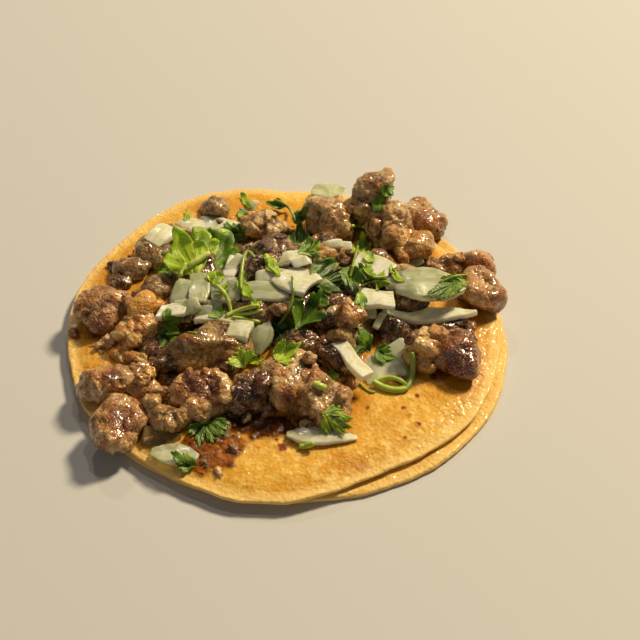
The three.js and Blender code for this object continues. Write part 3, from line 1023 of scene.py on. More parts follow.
# Later pieces can lie on both tortillas too.
for node in HIDDEN_SHARES:
    dough = bpy.data.objects[node + "_toasted"].data
    dough_points = [corner.co for corner in dough.vertices]
    dough_faces = [face.vertices for face in dough.polygons]
    surfaces.append(BVHTree.FromPolygons(dough_points, dough_faces))

# The onion lies on the meat, so the meat must not grow through the onion's CAD pieces.
ONION_NODES = [name for name in sorted(frame["nodes"]) if name.startswith("onion_")]
onion_points, onion_faces = [], []
for node in ONION_NODES:
    start = len(onion_points)
    onion_points += node_points(node).tolist()
    for face in frame["nodes"][node].data.polygons:
        onion_faces.append(tuple(start + i for i in face.vertices))
ONION_TREE = BVHTree.FromPolygons(onion_points, onion_faces)

MEAT = {name: meat_material(name, look) for name, look in MEAT_LOOKS.items()}
for seed, (node, values) in enumerate(MEAT_PIECES.items()):
    meat_piece(node, seed, **values)

# ---- The heap of small meat under the onion ----------------------------------------------------
# The same pork, chopped smaller and heaped in the middle of the taco, where juice holds the pieces
# together. Loose chunks lie over a smaller dark core in the place of the heap's outline.

CHUNK_FACETS = 7
FACETS_OUT = (0.7, 1.1)  # how far out from the middle the facets lie
FACET_SHARPNESS = 12
FACET_LEAST = 0.01  # keeps facets that face away from counting
CHUNK_REACH = (0.6, 1.3)  # least and most that a corner is out from the middle
CHUNK_WIDTH = (0.45, 0.8)  # least and most, as shares of the length
CHUNK_HEIGHT = (0.4, 0.65)
CHUNK_GRAIN = [(2.0, 0.35), (1.0, 0.2)]
GRAINY_LENGTH = 4  # mm; shorter pieces are smoother
CHUNK_BUILT = 13  # mm; chunks get their rough shape at this length and are then scaled
CHUNK_LENGTH = (8, 13)  # shortest and longest, mm
CHUNK_SPACING = 5.0 * MM
CHUNK_SUNK = 0.28  # how deep the chunks sit in the heap, as a share of their length
FACING_LEAST = -0.2  # chunks lie where the heap faces up or sideways, by the height of its normal
# Mostly dark looks, which also stand in for the shade deep in the heap: painted shade.
HEAP_LOOKS = ["dark", "olive", "dark", "dark", "plum"]
HEAP_VOXEL = 2 * MEAT_VOXEL
HEAP_CORE_DEPTH = 1.6 * MM
CORE_DARK = 0.5  # how strongly painted shade darkens it, as the shade deep in the heap
CORE_SEED = 7
CHUNK_SEEDS = 200  # the first chunk's seed
HEAP_DRAW = 11  # the seed of the random draws that seat the chunks
HEAP_PROUD = 0.5 * MM  # how far a chunk may stand out of the heap's outline
PUSHED_BACK = 0.85  # how much of what stands out farther is pushed back
ONION_MARGIN = 2 * MM  # chunks at most this far in front of the onion are pushed behind it


def ball(levels):
    """The corners and faces of a round ball of even small triangles, with a radius of one."""
    shape = bmesh.new()
    bmesh.ops.create_icosphere(shape, subdivisions=levels, radius=1)
    points = np.array([corner.co for corner in shape.verts])
    faces = [tuple(corner.index for corner in face.verts) for face in shape.faces]
    shape.free()
    return points, faces


def chunk(shape, length, look, seed):
    """A chopped scrap of meat round the origin, with its paint."""
    draw = np.random.default_rng(seed)
    directions, faces = shape
    facets = draw.normal(size=(CHUNK_FACETS, 3))
    facets /= np.linalg.norm(facets, axis=1, keepdims=True)
    facets /= draw.uniform(*FACETS_OUT, (CHUNK_FACETS, 1))
    nearness = (np.clip(directions @ facets.T, FACET_LEAST, None) ** FACET_SHARPNESS).sum(1)
    reach = np.clip(nearness ** (-1 / FACET_SHARPNESS), *CHUNK_REACH)
    sizes = np.array((1, draw.uniform(*CHUNK_WIDTH), draw.uniform(*CHUNK_HEIGHT)))
    points = directions * reach[:, None] * sizes * CHUNK_BUILT / 2 * MM
    points, ridges = meat_shape(points, faces, seed)
    points *= length / np.ptp(points[:, 0] / MM)
    grain = relief(points, CHUNK_GRAIN, seed) * min(1, length / GRAINY_LENGTH)
    points += normals_of(points, faces) * grain[:, None]
    paint = meat_paint(points, faces, ridges, seed, MEAT_LOOKS[look]["seared"])
    turn = Matrix.Rotation(draw.uniform(0, math.tau), 3, "Z")
    return points @ np.array(turn).T, faces, paint


def joined(parts):
    """One mesh from several: the corners, the faces and the paint of all of them."""
    all_points, all_faces, all_paint = [], [], {}
    start = 0
    for points, faces, paint in parts:
        all_points.append(points)
        all_faces += [tuple(start + i for i in face) for face in faces]
        for label, values in paint.items():
            all_paint.setdefault(label, []).append(values)
        start += len(points)
    joined_paint = {label: np.concatenate(values) for label, values in all_paint.items()}
    return np.concatenate(all_points), all_faces, joined_paint


def lay_joined(name, parts, *rest):
    """Adds one piece to the taco that is made of several parts."""
    points, faces, paint = joined(parts)
    lay(name, points, faces, *rest, **paint)


heap_points, heap_faces = copy_of_node("meat_heap", HEAP_VOXEL, MEAT_SMOOTHING)
heap_normals = normals_of(heap_points, heap_faces)
heap_tree = BVHTree.FromPolygons(heap_points.tolist(), heap_faces)
core_points = heap_points - heap_normals * HEAP_CORE_DEPTH
core_points += heap_normals * relief(core_points, MEAT_LUMPS, CORE_SEED)[:, None]
# The core is darkened all over with painted shade.
ridges = dict(crease=np.full(len(core_points), CORE_DARK), proud=np.zeros(len(core_points)))
paint = meat_paint(core_points, heap_faces, ridges, CORE_SEED, MEAT_LOOKS["dark"]["seared"])
HEAP_SLOT = slot_of("meat_heap")
lay("meat_heap_core", core_points, heap_faces, MEAT["dark"], HEAP_SLOT, ["meat_heap"], **paint)

# Chunks are seated all over the heap, each at least the spacing from the others.
draw = np.random.default_rng(HEAP_DRAW)
fine_ball = ball(4)
seats = []
for i in draw.permutation(len(heap_points)):
    clear = all(np.linalg.norm(heap_points[i] - heap_points[j]) > CHUNK_SPACING for j in seats)
    if clear and heap_normals[i, 2] > FACING_LEAST:
        seats.append(i)

# What stands too far out of the heap, or in front of the onion, is pushed back.
heap_chunks = {look: [] for look in sorted(set(HEAP_LOOKS))}
for seed, i in enumerate(seats):
    look = HEAP_LOOKS[seed % len(HEAP_LOOKS)]
    length = draw.uniform(*CHUNK_LENGTH)
    points, faces, paint = chunk(fine_ball, length, look, CHUNK_SEEDS + seed)
    points += heap_points[i] - heap_normals[i] * CHUNK_SUNK * length * MM
    for k, point in enumerate(points):
        nearest, normal, _, _ = heap_tree.find_nearest(Vector(point))
        beyond = (Vector(point) - nearest).dot(normal) - HEAP_PROUD
        if beyond > 0:
            points[k] -= np.array(normal) * beyond * PUSHED_BACK
    points = behind_onion(points - np.array(TOWARD_CAMERA) * ONION_MARGIN, points)
    heap_chunks[look].append((points, faces, paint))
for look, parts in heap_chunks.items():
    lay_joined("meat_heap_" + look, parts, MEAT[look], HEAP_SLOT, ["meat_heap"])

# ---- Scraps and crumbs of meat -----------------------------------------------------------------
# Small scraps and crumbs that broke off the pork under the knife. They lie in the gaps between the
# larger pieces, on the tortilla round them and in the juice, and juice makes them stick.

# Scraps in known places: the pixel, the length in mm and the look.
SCRAPS = [
    ((121, 283), 9, "dark"),
    ((126, 350), 6, "fat"),
    ((134, 342), 5, "gold"),
    ((228, 368), 7, "dark"),
    ((245, 236), 6, "brown"),
    ((266, 250), 9, "dark"),
    ((273, 250), 5, "tan"),
    ((258, 264), 6, "dark"),
    ((324, 258), 12, "gold"),
    ((350, 385), 5, "gold"),
    ((341, 397), 5, "brown"),
    ((311, 359), 4, "tan"),
    ((150, 372), 4, "fat"),
    ((143, 381), 5, "gold"),
    ((280, 308), 6, "brown"),
    ((159, 394), 6, "brown"),
    ((152, 408), 6, "tan"),
    ((163, 376), 5, "gold"),
    ((262, 385), 7, "dark"),
    ((412, 338), 5, "dark"),
    ((437, 334), 6, "gold"),
    ((350, 208), 6, "tan"),
    ((376, 228), 7, "brown"),
    ((404, 258), 6, "gold"),
    ((460, 258), 4, "gold"),
    ((150, 356), 9, "dark"),
    ((136, 359), 8, "gold"),
    ((120, 360), 6, "gold"),
    ((168, 364), 8, "dark"),
    ((176, 237), 8, "grey"),
    ((203, 241), 9, "grey"),
    ((352, 368), 6, "dark"),
    ((258, 346), 7, "dark"),
    ((300, 345), 7, "dark"),
    ((157, 313), 7, "fat"),
    ((130, 338), 6, "fat"),
    ((116, 341), 9, "rosy"),
    ((103, 346), 6, "rosy"),
    ((127, 300), 7, "rosy"),
    ((121, 353), 6, "fat"),
    ((75, 333), 3.5, "plum"),
    ((136, 372), 6, "brown"),
    ((349, 322), 8, "amber"),
]
GAP_SCRAPS = 60  # more scraps, anywhere in the gaps
GAP_LENGTH = (3, 6)  # shortest and longest, mm
GAP_REACH = 2.2 * MM  # scraps fill the tortilla this close to the larger pieces
GAP_LOOKS = ["dark", "plum", "brown", "dark", "gold"]
JUICE_SCRAPS = 12
JUICE_LENGTH = (2.0, 4.5)
PUDDLES_WITH_SCRAPS = 4  # the first puddles, which stretch out from the front of the meat
PUDDLE_SPREAD = (1.6, 1.1)  # across and down the picture, in pixels for each mm of the radius
CRUMBS = 60
CRUMB_LENGTH = (0.8, 2)
CRUMB_REACH = 2.5 * MM
TORTILLA_TOP = (4 * MM, 6 * MM)  # between which heights the bare top of the upper tortilla lies
SCRAP_SUNK = 0.28  # how deep scraps sink into what they lie on, as a share of their length
JUICE_SUNK = 0.42
SCRAP_SEEDS = 500  # the seed of the first scrap of each kind
GAP_SEEDS = 600
JUICE_SEEDS = 700
CRUMB_SEEDS = 800
SCRAPS_DRAW = 12  # the seed of the random draws that strew scraps and crumbs
small_ball = ball(3)


def place_scrap(kind, shape, point, length, look, seed, sunk=SCRAP_SUNK):
    """Adds a scrap of meat, sunk a little into the surface at a point, to its kind."""
    points, faces, paint = chunk(shape, length, look, seed)
    lift = np.array((0, 0, -points[:, 2].min() - sunk * length * MM))
    kind.setdefault(look, []).append((points + point + lift, faces, paint))


def seen_at(pixel):
    """The point that the camera sees at a pixel, on the pieces laid so far."""
    return first_surface(camera.location, sight_line(pixel))[0]


def bare_spots(draw, count, reach):
    """Points on the bare tortilla round the feet of the larger pieces of meat."""
    feet = np.concatenate([node_points(name) for name in MEAT_NODES])
    spots = []
    while len(spots) < count:
        spot = feet[draw.integers(len(feet))] + draw.normal(size=3) * reach * (1, 1, 0)
        hit = first_surface(Vector((spot[0], spot[1], camera.location.z)), Vector((0, 0, -1)))
        if hit and TORTILLA_TOP[0] < hit[0].z < TORTILLA_TOP[1]:
            spots.append(np.array(hit[0]))
    return spots


scraps = {}
for seed, (pixel, length, look) in enumerate(SCRAPS):
    point = np.array(seen_at(pixel))
    place_scrap(scraps, fine_ball, point, length, look, SCRAP_SEEDS + seed)
draw = np.random.default_rng(SCRAPS_DRAW)
for i, point in enumerate(bare_spots(draw, GAP_SCRAPS, GAP_REACH)):
    look = GAP_LOOKS[i % len(GAP_LOOKS)]
    place_scrap(scraps, small_ball, point, draw.uniform(*GAP_LENGTH), look, GAP_SEEDS + i)
for i in range(JUICE_SCRAPS):
    middle, reach, _ = JUICE_SPOTS[i % PUDDLES_WITH_SCRAPS]
    pixel = np.array(middle) + draw.normal(size=2) * reach * PUDDLE_SPREAD
    point = np.array(seen_at(pixel))
    length = draw.uniform(*JUICE_LENGTH)
    look = GAP_LOOKS[i % len(GAP_LOOKS)]
    place_scrap(scraps, small_ball, point, length, look, JUICE_SEEDS + i, JUICE_SUNK)
for look, parts in scraps.items():
    lay_joined("meat_scraps_" + look, parts, MEAT[look], "browned_meat")

# Crumbs are too small for other pieces to lie on.
crumbs = {}
for i, point in enumerate(bare_spots(draw, CRUMBS, CRUMB_REACH)):
    length = draw.uniform(*CRUMB_LENGTH)
    place_scrap(crumbs, small_ball, point, length, "brown", CRUMB_SEEDS + i)
points, faces, paint = joined(crumbs["brown"])
new_piece("meat_crumbs", points, faces, MEAT["brown"], "browned_meat", **paint)

# ---- Onion -------------------------------------------------------------------------------------
# Raw white onion, cut into flat pieces along its layers. It is clear and a little green where it is
# thin, whiter along its cut edges, finely ribbed from root to tip, and wet.

ONION_VOXEL = 0.3 * MM
ONION_SMOOTHING = 1
ONION_BENDS = [(9, 1.1)]
LAYER_RADIUS = 34 * MM  # how strongly the layers of the onion curve
RIB_SIZE = 0.5 * MM
RIB_STRETCH = 0.05  # ribs run along a piece, so they change this much slower that way
RIBS_SEEN = 0.22  # how much of the onion's pattern is ribs; the rest is clouds
PALE_FROM = (0.42, 0.58)  # where in that pattern the onion gets as pale as a cut edge
PALE_MOST = 0.8
CUT_FROM = (0.35, 0.9)  # how far sideways a cut edge starts to face, and where it is full
CUT_MOST = 0.8

# The tones of onion; the last one is dark with painted shade, for a slab that lies in shadow.
ONION_TONES = {
    "clear": dict(body=(202, 211, 164), cut=(246, 249, 224), seen_through=0.5),
    "white": dict(body=(218, 218, 176), cut=(254, 253, 236), seen_through=0.2),
    "bright": dict(body=(228, 227, 186), cut=(254, 253, 238), seen_through=0.15),
    "shaded": dict(body=(150, 124, 70), cut=(188, 164, 104), seen_through=0.5),
}

# The pieces that aren't plain white slabs: their tone, and how much narrower they get toward both
# ends.
ONION_PIECES = {
    "onion_back_left_outer": dict(tone="bright"),
    "onion_bright_strip": dict(tone="bright"),
    "onion_cream": dict(tone="bright"),
    "onion_long_arc": dict(tone="bright", taper=0.85),
    "onion_back_slab": dict(tone="clear"),
    "onion_big_petal": dict(tone="clear", taper=0.3),
    "onion_front_petal": dict(tone="clear"),
    "onion_left_slab": dict(tone="clear", taper=0.4),
    "onion_left_upright": dict(tone="clear"),
    "onion_middle_upright": dict(tone="clear"),
    "onion_olive_slab": dict(tone="clear"),
    "onion_oval": dict(tone="clear", taper=0.5),
    "onion_square_left": dict(tone="clear"),
    "onion_front_slab": dict(taper=0.6),
}


def onion_material(tone, body, cut, seen_through):
    """Wet onion, as pale as its cut edges along its ribs and in soft clouds."""
    material = new_material("onion_" + tone)
    tree = material.node_tree
    clouds = clouds_of(place_of(tree), size=5, Detail=3, Distortion=1.0)
    ribs = times(painted(tree, "rib"), RIBS_SEEN)
    ribbed = plus(ribs, times(clouds, 1 - RIBS_SEEN))
    pale = plus(painted(tree, "cut"), ramp(ribbed, PALE_FROM, PALE_MOST))
    surface(
        tree,
        Base_Color=blend(pale, body, cut),
        Roughness=0.32,
        Normal=bumps(painted(tree, "rib"), depth=0.05),
        Subsurface_Weight=0.8,
        Subsurface_Radius=(1.0, 0.95, 0.7),
        Subsurface_Scale=1.5 * MM,
        Transmission_Weight=seen_through,
        IOR=1.36,
        Coat_Weight=0.2,
        Coat_Roughness=0.12,
    )
    return material


def onion_shape(points, faces, seed, taper=0):
    """Curves a flat piece as the layers of an onion are, and finds its ribs and its cut edges."""
    offset = points - points.mean(0)
    along, across, through = np.linalg.svd(offset, full_matrices=False)[2]
    facing = through * np.sign(through[2] or 1)
    cut = 1 - np.abs(normals_of(points, faces) @ through)
    over, out = offset @ along, offset @ across
    rib = noise(np.stack([out, RIB_STRETCH * over, 0 * out], axis=1), RIB_SIZE, seed)
    points = points - np.outer(taper * out * (over / np.abs(over).max()) ** 2, across)
    points = points - np.outer(out**2 / (2 * LAYER_RADIUS), facing)
    points = points + bends(points, ONION_BENDS, seed)
    return points, dict(rib=0.5 + 0.5 * rib, cut=CUT_MOST * smoothstep(*CUT_FROM, cut))


def onion_piece(node, seed, tone="white", taper=0):
    """A large piece of onion in the place of its CAD node."""
    points, faces = copy_of_node(node, ONION_VOXEL, ONION_SMOOTHING)
    points, paint = onion_shape(points, faces, seed, taper)
    lay(node + "_cut", points, faces, ONION[tone], "onion", [node], **paint)


ONION = {tone: onion_material(tone, **values) for tone, values in ONION_TONES.items()}
for seed, node in enumerate(ONION_NODES):
    onion_piece(node, seed, **ONION_PIECES.get(node, {}))

# Small bits of onion: the pixel, the length and width in mm, the way the length points in the
# picture, in degrees from right, anticlockwise, and the tone.
ONION_BITS = [
    ((223, 237), 4, 2, 80, "white"),
    ((200, 311), 7, 3, 0, "clear"),
    ((270, 277), 8, 4, 5, "white"),
    ((331, 290), 6, 4, -40, "clear"),
    ((332, 245), 6, 3, 10, "white"),
    ((346, 246), 4, 3, 0, "white"),
    ((380, 320), 5, 2, 60, "white"),
    ((370, 314), 3, 3, 0, "white"),
    ((253, 207), 4, 3, 70, "white"),
    # This bit lies in shadow; its tone is painted shade.
    ((163, 438), 10, 5, -10, "shaded"),
    ((300, 262), 5, 3, 20, "white"),
    ((416, 262), 4, 3, 30, "clear"),
    ((397, 354), 8, 8, 35, "clear"),
    ((181, 292), 7, 4, 80, "clear"),
    ((232, 290), 6, 3, 100, "clear"),
    ((188, 308), 6, 4, 20, "clear"),
    ((215, 308), 5, 3, -10, "clear"),
    ((236, 264), 6, 4, 60, "white"),
]
BIT_THICK = 1.6  # mm
BIT_LIFT = 0.5 * MM
BIT_ROUND = 0.3  # 1 is a ball, 0 is a box
BIT_SEEDS = 40  # the first bit's seed
LIE_FLAT = Vector((0, 0, 0.5))  # how far loose pieces face up rather than to the camera


def face_frame(points_to, normal):
    """Turns a flat piece so that its Y axis points a way in the picture and it faces a normal."""
    turn = math.radians(points_to)
    way = PICTURE_RIGHT * math.cos(turn) + PICTURE_UP * math.sin(turn)
    z = normal.normalized()
    x = way.cross(z).normalized()
    y = z.cross(x)
    return np.array(Matrix((x, y, z)))


def onion_bit(long, wide, points_to, seed):
    """A small slab of onion round the origin, with its corners a little rounded."""
    directions, faces = fine_ball
    box = np.sign(directions) * np.abs(directions) ** BIT_ROUND
    points, paint = onion_shape(box * np.array((wide, long, BIT_THICK)) * MM / 2, faces, seed)
    return points @ face_frame(points_to, TOWARD_CAMERA + LIE_FLAT), faces, paint


bits = {}
for seed, (pixel, long, wide, points_to, tone) in enumerate(ONION_BITS):
    points, faces, paint = onion_bit(long, wide, points_to, BIT_SEEDS + seed)
    lifted = points + np.array(seen_at(pixel) + TOWARD_CAMERA * BIT_LIFT)
    bits.setdefault(tone, []).append((lifted, faces, paint))
for tone, parts in bits.items():
    lay_joined("onion_bits_" + tone, parts, ONION[tone], "onion")

# ---- Coriander leaves --------------------------------------------------------------------------
# Fresh coriander, chopped once or twice and strewn over the onion. The leaves are thin, with lobes
# and toothed edges, and they fold, curl and sag onto what they lie on.

LEAF_SPOKES = 60
LEAF_RINGS = 9
LEAF_HEEL = 0.04  # the innermost ring, as a share of the length
LEAF_SPREAD = math.radians(80)
LEAF_SIDES = 0.2  # how much shorter a leaf is at its sides than at its tip
LEAF_FULL_WIDTH = 1.5  # widths in the rows below are for leaves this much wider than long
LEAF_THICK = 0.2 * MM
LEAF_CORE = 0.34  # how much of a leaf's length the notches between the lobes leave
LOBE_DEPTH = 0.43
LOBE_ROUND = 0.35  # smaller is rounder
LOBES_UNEVEN = 0.22
LOBE_CHANGE = 2  # how fast that changes from one side of a leaf to the other
TOOTH_DEPTH = 0.23
TOOTH_ROUND = 0.5
TEETH = 3  # on each lobe
VEIN_WIDTH = 0.14 * MM
VEIN_PALE = 0.25
LEAF_BENDS = [(7, 1.6), (3, 0.7)]
LEAF_GAP = 0.25 * MM
LEAF_SAG = 0.5  # how far a leaf sags from flat onto what it lies on
MOST_SAG = 3 * MM
LEAF_PUSHED = 3.5 * MM  # how far at most a leaf bulges over what it lies on
PUSH_SPREAD = 4  # over how many corners a bulge fades
LEAF_FACING = 0.4  # how far a leaf turns to the surface under it
TINY = 1e-12  # keeps a division from being by nothing
LEAF_PATCH = 4 * MM
LEAF_UNEVEN = 0.4  # how much the brightness of a leaf changes over it, as painted light and shade across its folds
CLOUDY_FROM = (0.4, 0.8)
CLOUDY_MOST = 0.3
GREEN_FROM = (0.0, 0.5)  # by how bright the leaf is
BRIGHT_FROM = (0.5, 1.0)
LEAF_DARK = (38, 60, 8)
LEAF_GREEN = (92, 126, 22)
LEAF_BRIGHT = (170, 198, 46)
STEM_PALE = (206, 216, 118)

# Each leaf: the pixel of its middle, its length and width in mm, the way that its tip points in the
# picture (degrees from right, anticlockwise), how many lobes it has, its fold and its curl in
# degrees, its brightness and how far it is lifted in mm.
# A leaf's brightness is partly its own green, partly painted light and shade, as it lies lit or in
# shadow.
LEAVES = [
    ((187, 255), 17, 17, 115, 1, 25, 80, 1.0, 1.5),
    ((200, 247), 15, 16, 85, 1, 30, 60, 0.9, 2.5),
    ((219, 255), 16, 18, 70, 1, 25, 40, 0.4, 2),
    ((217, 243), 8, 10, 30, 3, 30, 40, 0.25, 2.5),
    ((167, 265), 7, 8, 170, 1, 10, 20, 0.4, 1),
    ((246, 295), 5, 5, -60, 1, 20, 30, 0.8, 1),
    ((217, 310), 4, 5, 100, 1, 20, 30, 0.6, 0.6),
    ((173, 321), 8, 8, 20, 3, 20, 30, 0.45, 1),
    ((166, 339), 7, 5, -110, 1, 15, 20, 0.2, 0.8),
    ((242, 356), 8, 8, 110, 3, 40, 60, 0.85, 1.2),
    ((257, 362), 7, 6, 10, 3, 50, 60, 0.8, 1),
    ((276, 207), 8, 8, 160, 1, 50, 60, 0.25, 2),
    ((297, 237), 11, 8, 80, 3, 20, 20, 0.3, 1),
    ((311, 248), 7, 8, 30, 3, 30, 50, 0.5, 1),
    ((302, 215), 7, 6, 60, 1, 20, 20, 0.3, 1),
    ((358, 246), 9, 8, 85, 3, 20, 10, 0.7, 2.5),
    ((336, 278), 16, 14, 15, 3, 30, 30, 0.2, 2),
    ((352, 283), 12, 8, -80, 3, 30, 30, 0.25, 1.6),
    ((368, 272), 5, 8, 60, 3, 40, 60, 0.65, 1),
    ((380, 284), 5, 8, -20, 3, 40, 60, 0.6, 1),
    ((310, 311), 15, 15, 60, 3, 45, 90, 0.3, 2),
    ((296, 327), 15, 8, -8, 1, 20, 20, 0.6, 1.6),
    ((280, 334), 5, 5, -60, 1, 20, 30, 0.3, 0.8),
    ((289, 353), 8, 8, 30, 3, 30, 60, 0.85, 1),
    ((366, 340), 7, 5, 110, 1, 20, 20, 0.2, 1),
    ((385, 356), 6, 7, -20, 3, 25, 40, 0.35, 0.8),
    ((333, 376), 4, 5, 10, 1, 20, 30, 0.6, 0.8),
    ((357, 353), 4, 3, 60, 1, 20, 20, 0.3, 0.8),
    ((337, 421), 8, 9, -25, 5, 8, 10, 0.75, 0.4),
    ((209, 433), 8, 12, -80, 5, 10, 10, 0.3, 0.8),
    ((182, 461), 7, 6, 150, 3, 20, 40, 0.45, 0.5),
    ((443, 290), 13, 6, 207, 5, 15, 10, 0.5, 0.8),
    ((461, 281), 4, 6, 60, 3, 40, 60, 0.8, 1),
    ((396, 273), 7, 3, 120, 1, 10, 20, 0.85, 0.8),
    ((379, 203), 7, 6, 60, 1, 30, 30, 0.35, 1),
    ((245, 201), 7, 3, 130, 1, 20, 40, 0.7, 0.8),
    ((243, 215), 4, 5, 200, 1, 20, 30, 0.6, 0.8),
    ((236, 231), 7, 6, 140, 3, 20, 30, 0.35, 0.5),
    ((272, 265), 7, 5, 130, 1, 15, 20, 0.8, 0.8),
    ((216, 280), 5, 5, -90, 1, 20, 30, 0.8, 0.8),
    ((188, 216), 4, 3, 110, 1, 10, 20, 0.7, 0.4),
    ((360, 302), 5, 5, -90, 1, 20, 20, 0.6, 0.5),
    ((243, 281), 6, 4, -100, 1, 30, 40, 0.75, 1),
    ((221, 291), 6, 5, 200, 3, 30, 50, 0.85, 1),
    ((257, 305), 5, 4, 20, 3, 40, 60, 0.95, 1),
    ((370, 258), 5, 4, 70, 3, 30, 40, 0.8, 1),
    ((324, 300), 6, 5, -40, 1, 30, 40, 0.25, 1),
    ((388, 192), 6, 5, 40, 1, 30, 40, 0.4, 0.8),
]


def coriander_material(name, depth, roughness):
    """Green from dark to bright, as it is painted, with pale veins and fine bumps."""
    material = new_material(name)
    tree = material.node_tree
    place = place_of(tree)
    clouds = clouds_of(place, size=3, Detail=4)
    cells = cells_of(place, size=0.5, feature="F1")
    cloudy = ramp(clouds, CLOUDY_FROM, CLOUDY_MOST)
    bright = plus(painted(tree, "bright"), cloudy)
    dark = blend(ramp(bright, GREEN_FROM), LEAF_DARK, LEAF_GREEN)
    green = blend(ramp(bright, BRIGHT_FROM), dark, LEAF_BRIGHT)
    veined = blend(painted(tree, "vein"), green, STEM_PALE)
    surface(
        tree,
        Base_Color=veined,
        Roughness=roughness,
        Normal=bumps(cells, depth),
        Subsurface_Weight=0.35,
        Subsurface_Radius=(0.5, 1.0, 0.15),
        Subsurface_Scale=1.0 * MM,
        Coat_Weight=0.12,
        Coat_Roughness=0.2,
    )
    return material


def draped(grid, gap):
    """Lets a leaf sag onto what lies behind it, as the camera sees it, without going through."""
    eye = np.array(camera.location)
    rays = grid - eye
    depth = np.linalg.norm(rays, axis=-1)
    rays /= depth[..., None]
    free = np.full(depth.shape, np.inf)
    for spot in np.ndindex(depth.shape):
        hit = first_surface(camera.location, Vector(rays[spot]))
        if hit:
            free[spot] = hit[2] - gap
    sagged = depth + LEAF_SAG * np.clip(free - depth, 0, MOST_SAG)
    push = np.clip(sagged - free, 0, LEAF_PUSHED)
    for _ in range(PUSH_SPREAD):
        padded = np.pad(push, 1, mode="edge")
        around = (padded[:-2, 1:-1] + padded[2:, 1:-1] + padded[1:-1, :-2] + padded[1:-1, 2:]) / 4
        push = np.maximum(push, around)
    return eye + rays * (sagged - push)[..., None]


def blade(long, wide, lobes, fold, curl, seed):
    """A leaf on the origin with its tip up the Y axis, folded and curled, and its veins."""
    share = np.linspace(-1, 1, LEAF_SPOKES + 1)[None]
    out = np.linspace(LEAF_HEEL, 1, LEAF_RINGS)[:, None]
    angle = LEAF_SPREAD * share
    turn = lobes * math.pi * (share + 1) / 2
    lobe = np.abs(np.sin(turn)) ** LOBE_ROUND
    tooth = np.abs(np.sin(TEETH * turn)) ** TOOTH_ROUND
    outline = LEAF_CORE + lobe * (LOBE_DEPTH + TOOTH_DEPTH * tooth)
    around = np.stack([LOBE_CHANGE * share[0], 0 * share[0], 0 * share[0]], axis=1)
    uneven = 1 + LOBES_UNEVEN * noise(around, 1, seed)
    reach = long * MM * uneven * (1 - LEAF_SIDES * share**2) * outline
    x = reach * out * np.sin(angle) * wide / (LEAF_FULL_WIDTH * long)
    y = reach * out * np.cos(angle) - long * MM / 2
    points = np.stack([x, y, 0 * x], axis=-1)
    points += bends(points.reshape(-1, 3) + seed * MM, LEAF_BENDS, seed).reshape(points.shape)
    x, y, z = np.moveaxis(points, -1, 0)
    z = z + np.abs(x) * math.sin(math.radians(fold))
    x = x * math.cos(math.radians(fold))
    bend = math.radians(curl) / (long * MM)
    radius = 1 / bend - z
    points = np.stack([x, radius * np.sin(y * bend), 1 / bend - radius * np.cos(y * bend)], axis=-1)
    tips = (np.arange(lobes) + 0.5) / lobes * 2 - 1
    aside = np.abs(share - tips[:, None]).min(0) * LEAF_SPREAD * reach * out
    return points, VEIN_PALE * np.exp(-((aside / VEIN_WIDTH) ** 2)) * (1 - out)


def thick_sheet(grid, thick):
    """Corners and faces of a closed sheet round a grid of points, one side's corners first."""
    rows, columns, _ = grid.shape
    down = np.gradient(grid, axis=0)
    right = np.gradient(grid, axis=1)
    normal = np.cross(right, down)
    normal /= np.linalg.norm(normal, axis=-1, keepdims=True) + TINY
    corners = np.concatenate([grid + normal * thick / 2, grid - normal * thick / 2]).reshape(-1, 3)
    under = rows * columns
    faces = []
    for r in range(rows - 1):
        for c in range(columns - 1):
            a = r * columns + c
            quad = (a, a + columns, a + columns + 1, a + 1)
            faces.append(quad)
            faces.append(tuple(under + i for i in reversed(quad)))
    edge = list(range(columns))
    edge += [r * columns + columns - 1 for r in range(1, rows)]
    edge += [(rows - 1) * columns + c for c in range(columns - 2, -1, -1)]
    edge += [r * columns for r in range(rows - 2, 0, -1)]
    for a, b in zip(edge, edge[1:] + edge[:1]):
        faces.append((a, b, under + b, under + a))
    return corners, faces


def leaf(pixel, long, wide, points_to, lobes, fold, curl, bright, lift, seed):
    """A leaf that lies on what the camera sees at a pixel, with its paint."""
    grid, vein = blade(long, wide, lobes, fold, curl, seed)
    point, normal, _ = first_surface(camera.location, sight_line(pixel))
    turned = grid @ face_frame(points_to, TOWARD_CAMERA + LIE_FLAT + LEAF_FACING * normal)
    grid = draped(turned + np.array(point + TOWARD_CAMERA * lift * MM), LEAF_GAP)
    corners, faces = thick_sheet(grid, LEAF_THICK)
    veins = np.tile(np.broadcast_to(vein, grid.shape[:2]).ravel(), 2)
    # Painted light and shade: the brightness wanders over the leaf as across its folds.
    shade = np.clip(bright + LEAF_UNEVEN * noise(corners, LEAF_PATCH, seed), 0, 1)
    return in_bounds(corners), faces, dict(vein=veins, bright=shade)


LEAF = coriander_material("coriander_leaf", depth=0.1, roughness=0.45)
leaves = [leaf(*row, seed) for seed, row in enumerate(LEAVES)]
lay_joined("coriander_leaves", leaves, LEAF, "coriander")

# ---- Coriander stems ---------------------------------------------------------------------------
# Cut lengths of the thin juicy stems of the same herb, strewn with the leaves. They are paler than
# the leaves, round and smooth, and bend over the onion and meat that they lie on.

STEM_SIDES = 10
STEM_PALENESS = 0.3  # how pale a stem is unless its row says otherwise
STEM_STEPS = 24
STEM_SMOOTHING = 12  # rounds of lifting a stem off the dips between what it rests on
STEM_TAPER = 0.3  # how much thinner a stem is at its very ends
STEM_BLUNT = 6  # the higher, the nearer to its ends a stem keeps its thickness

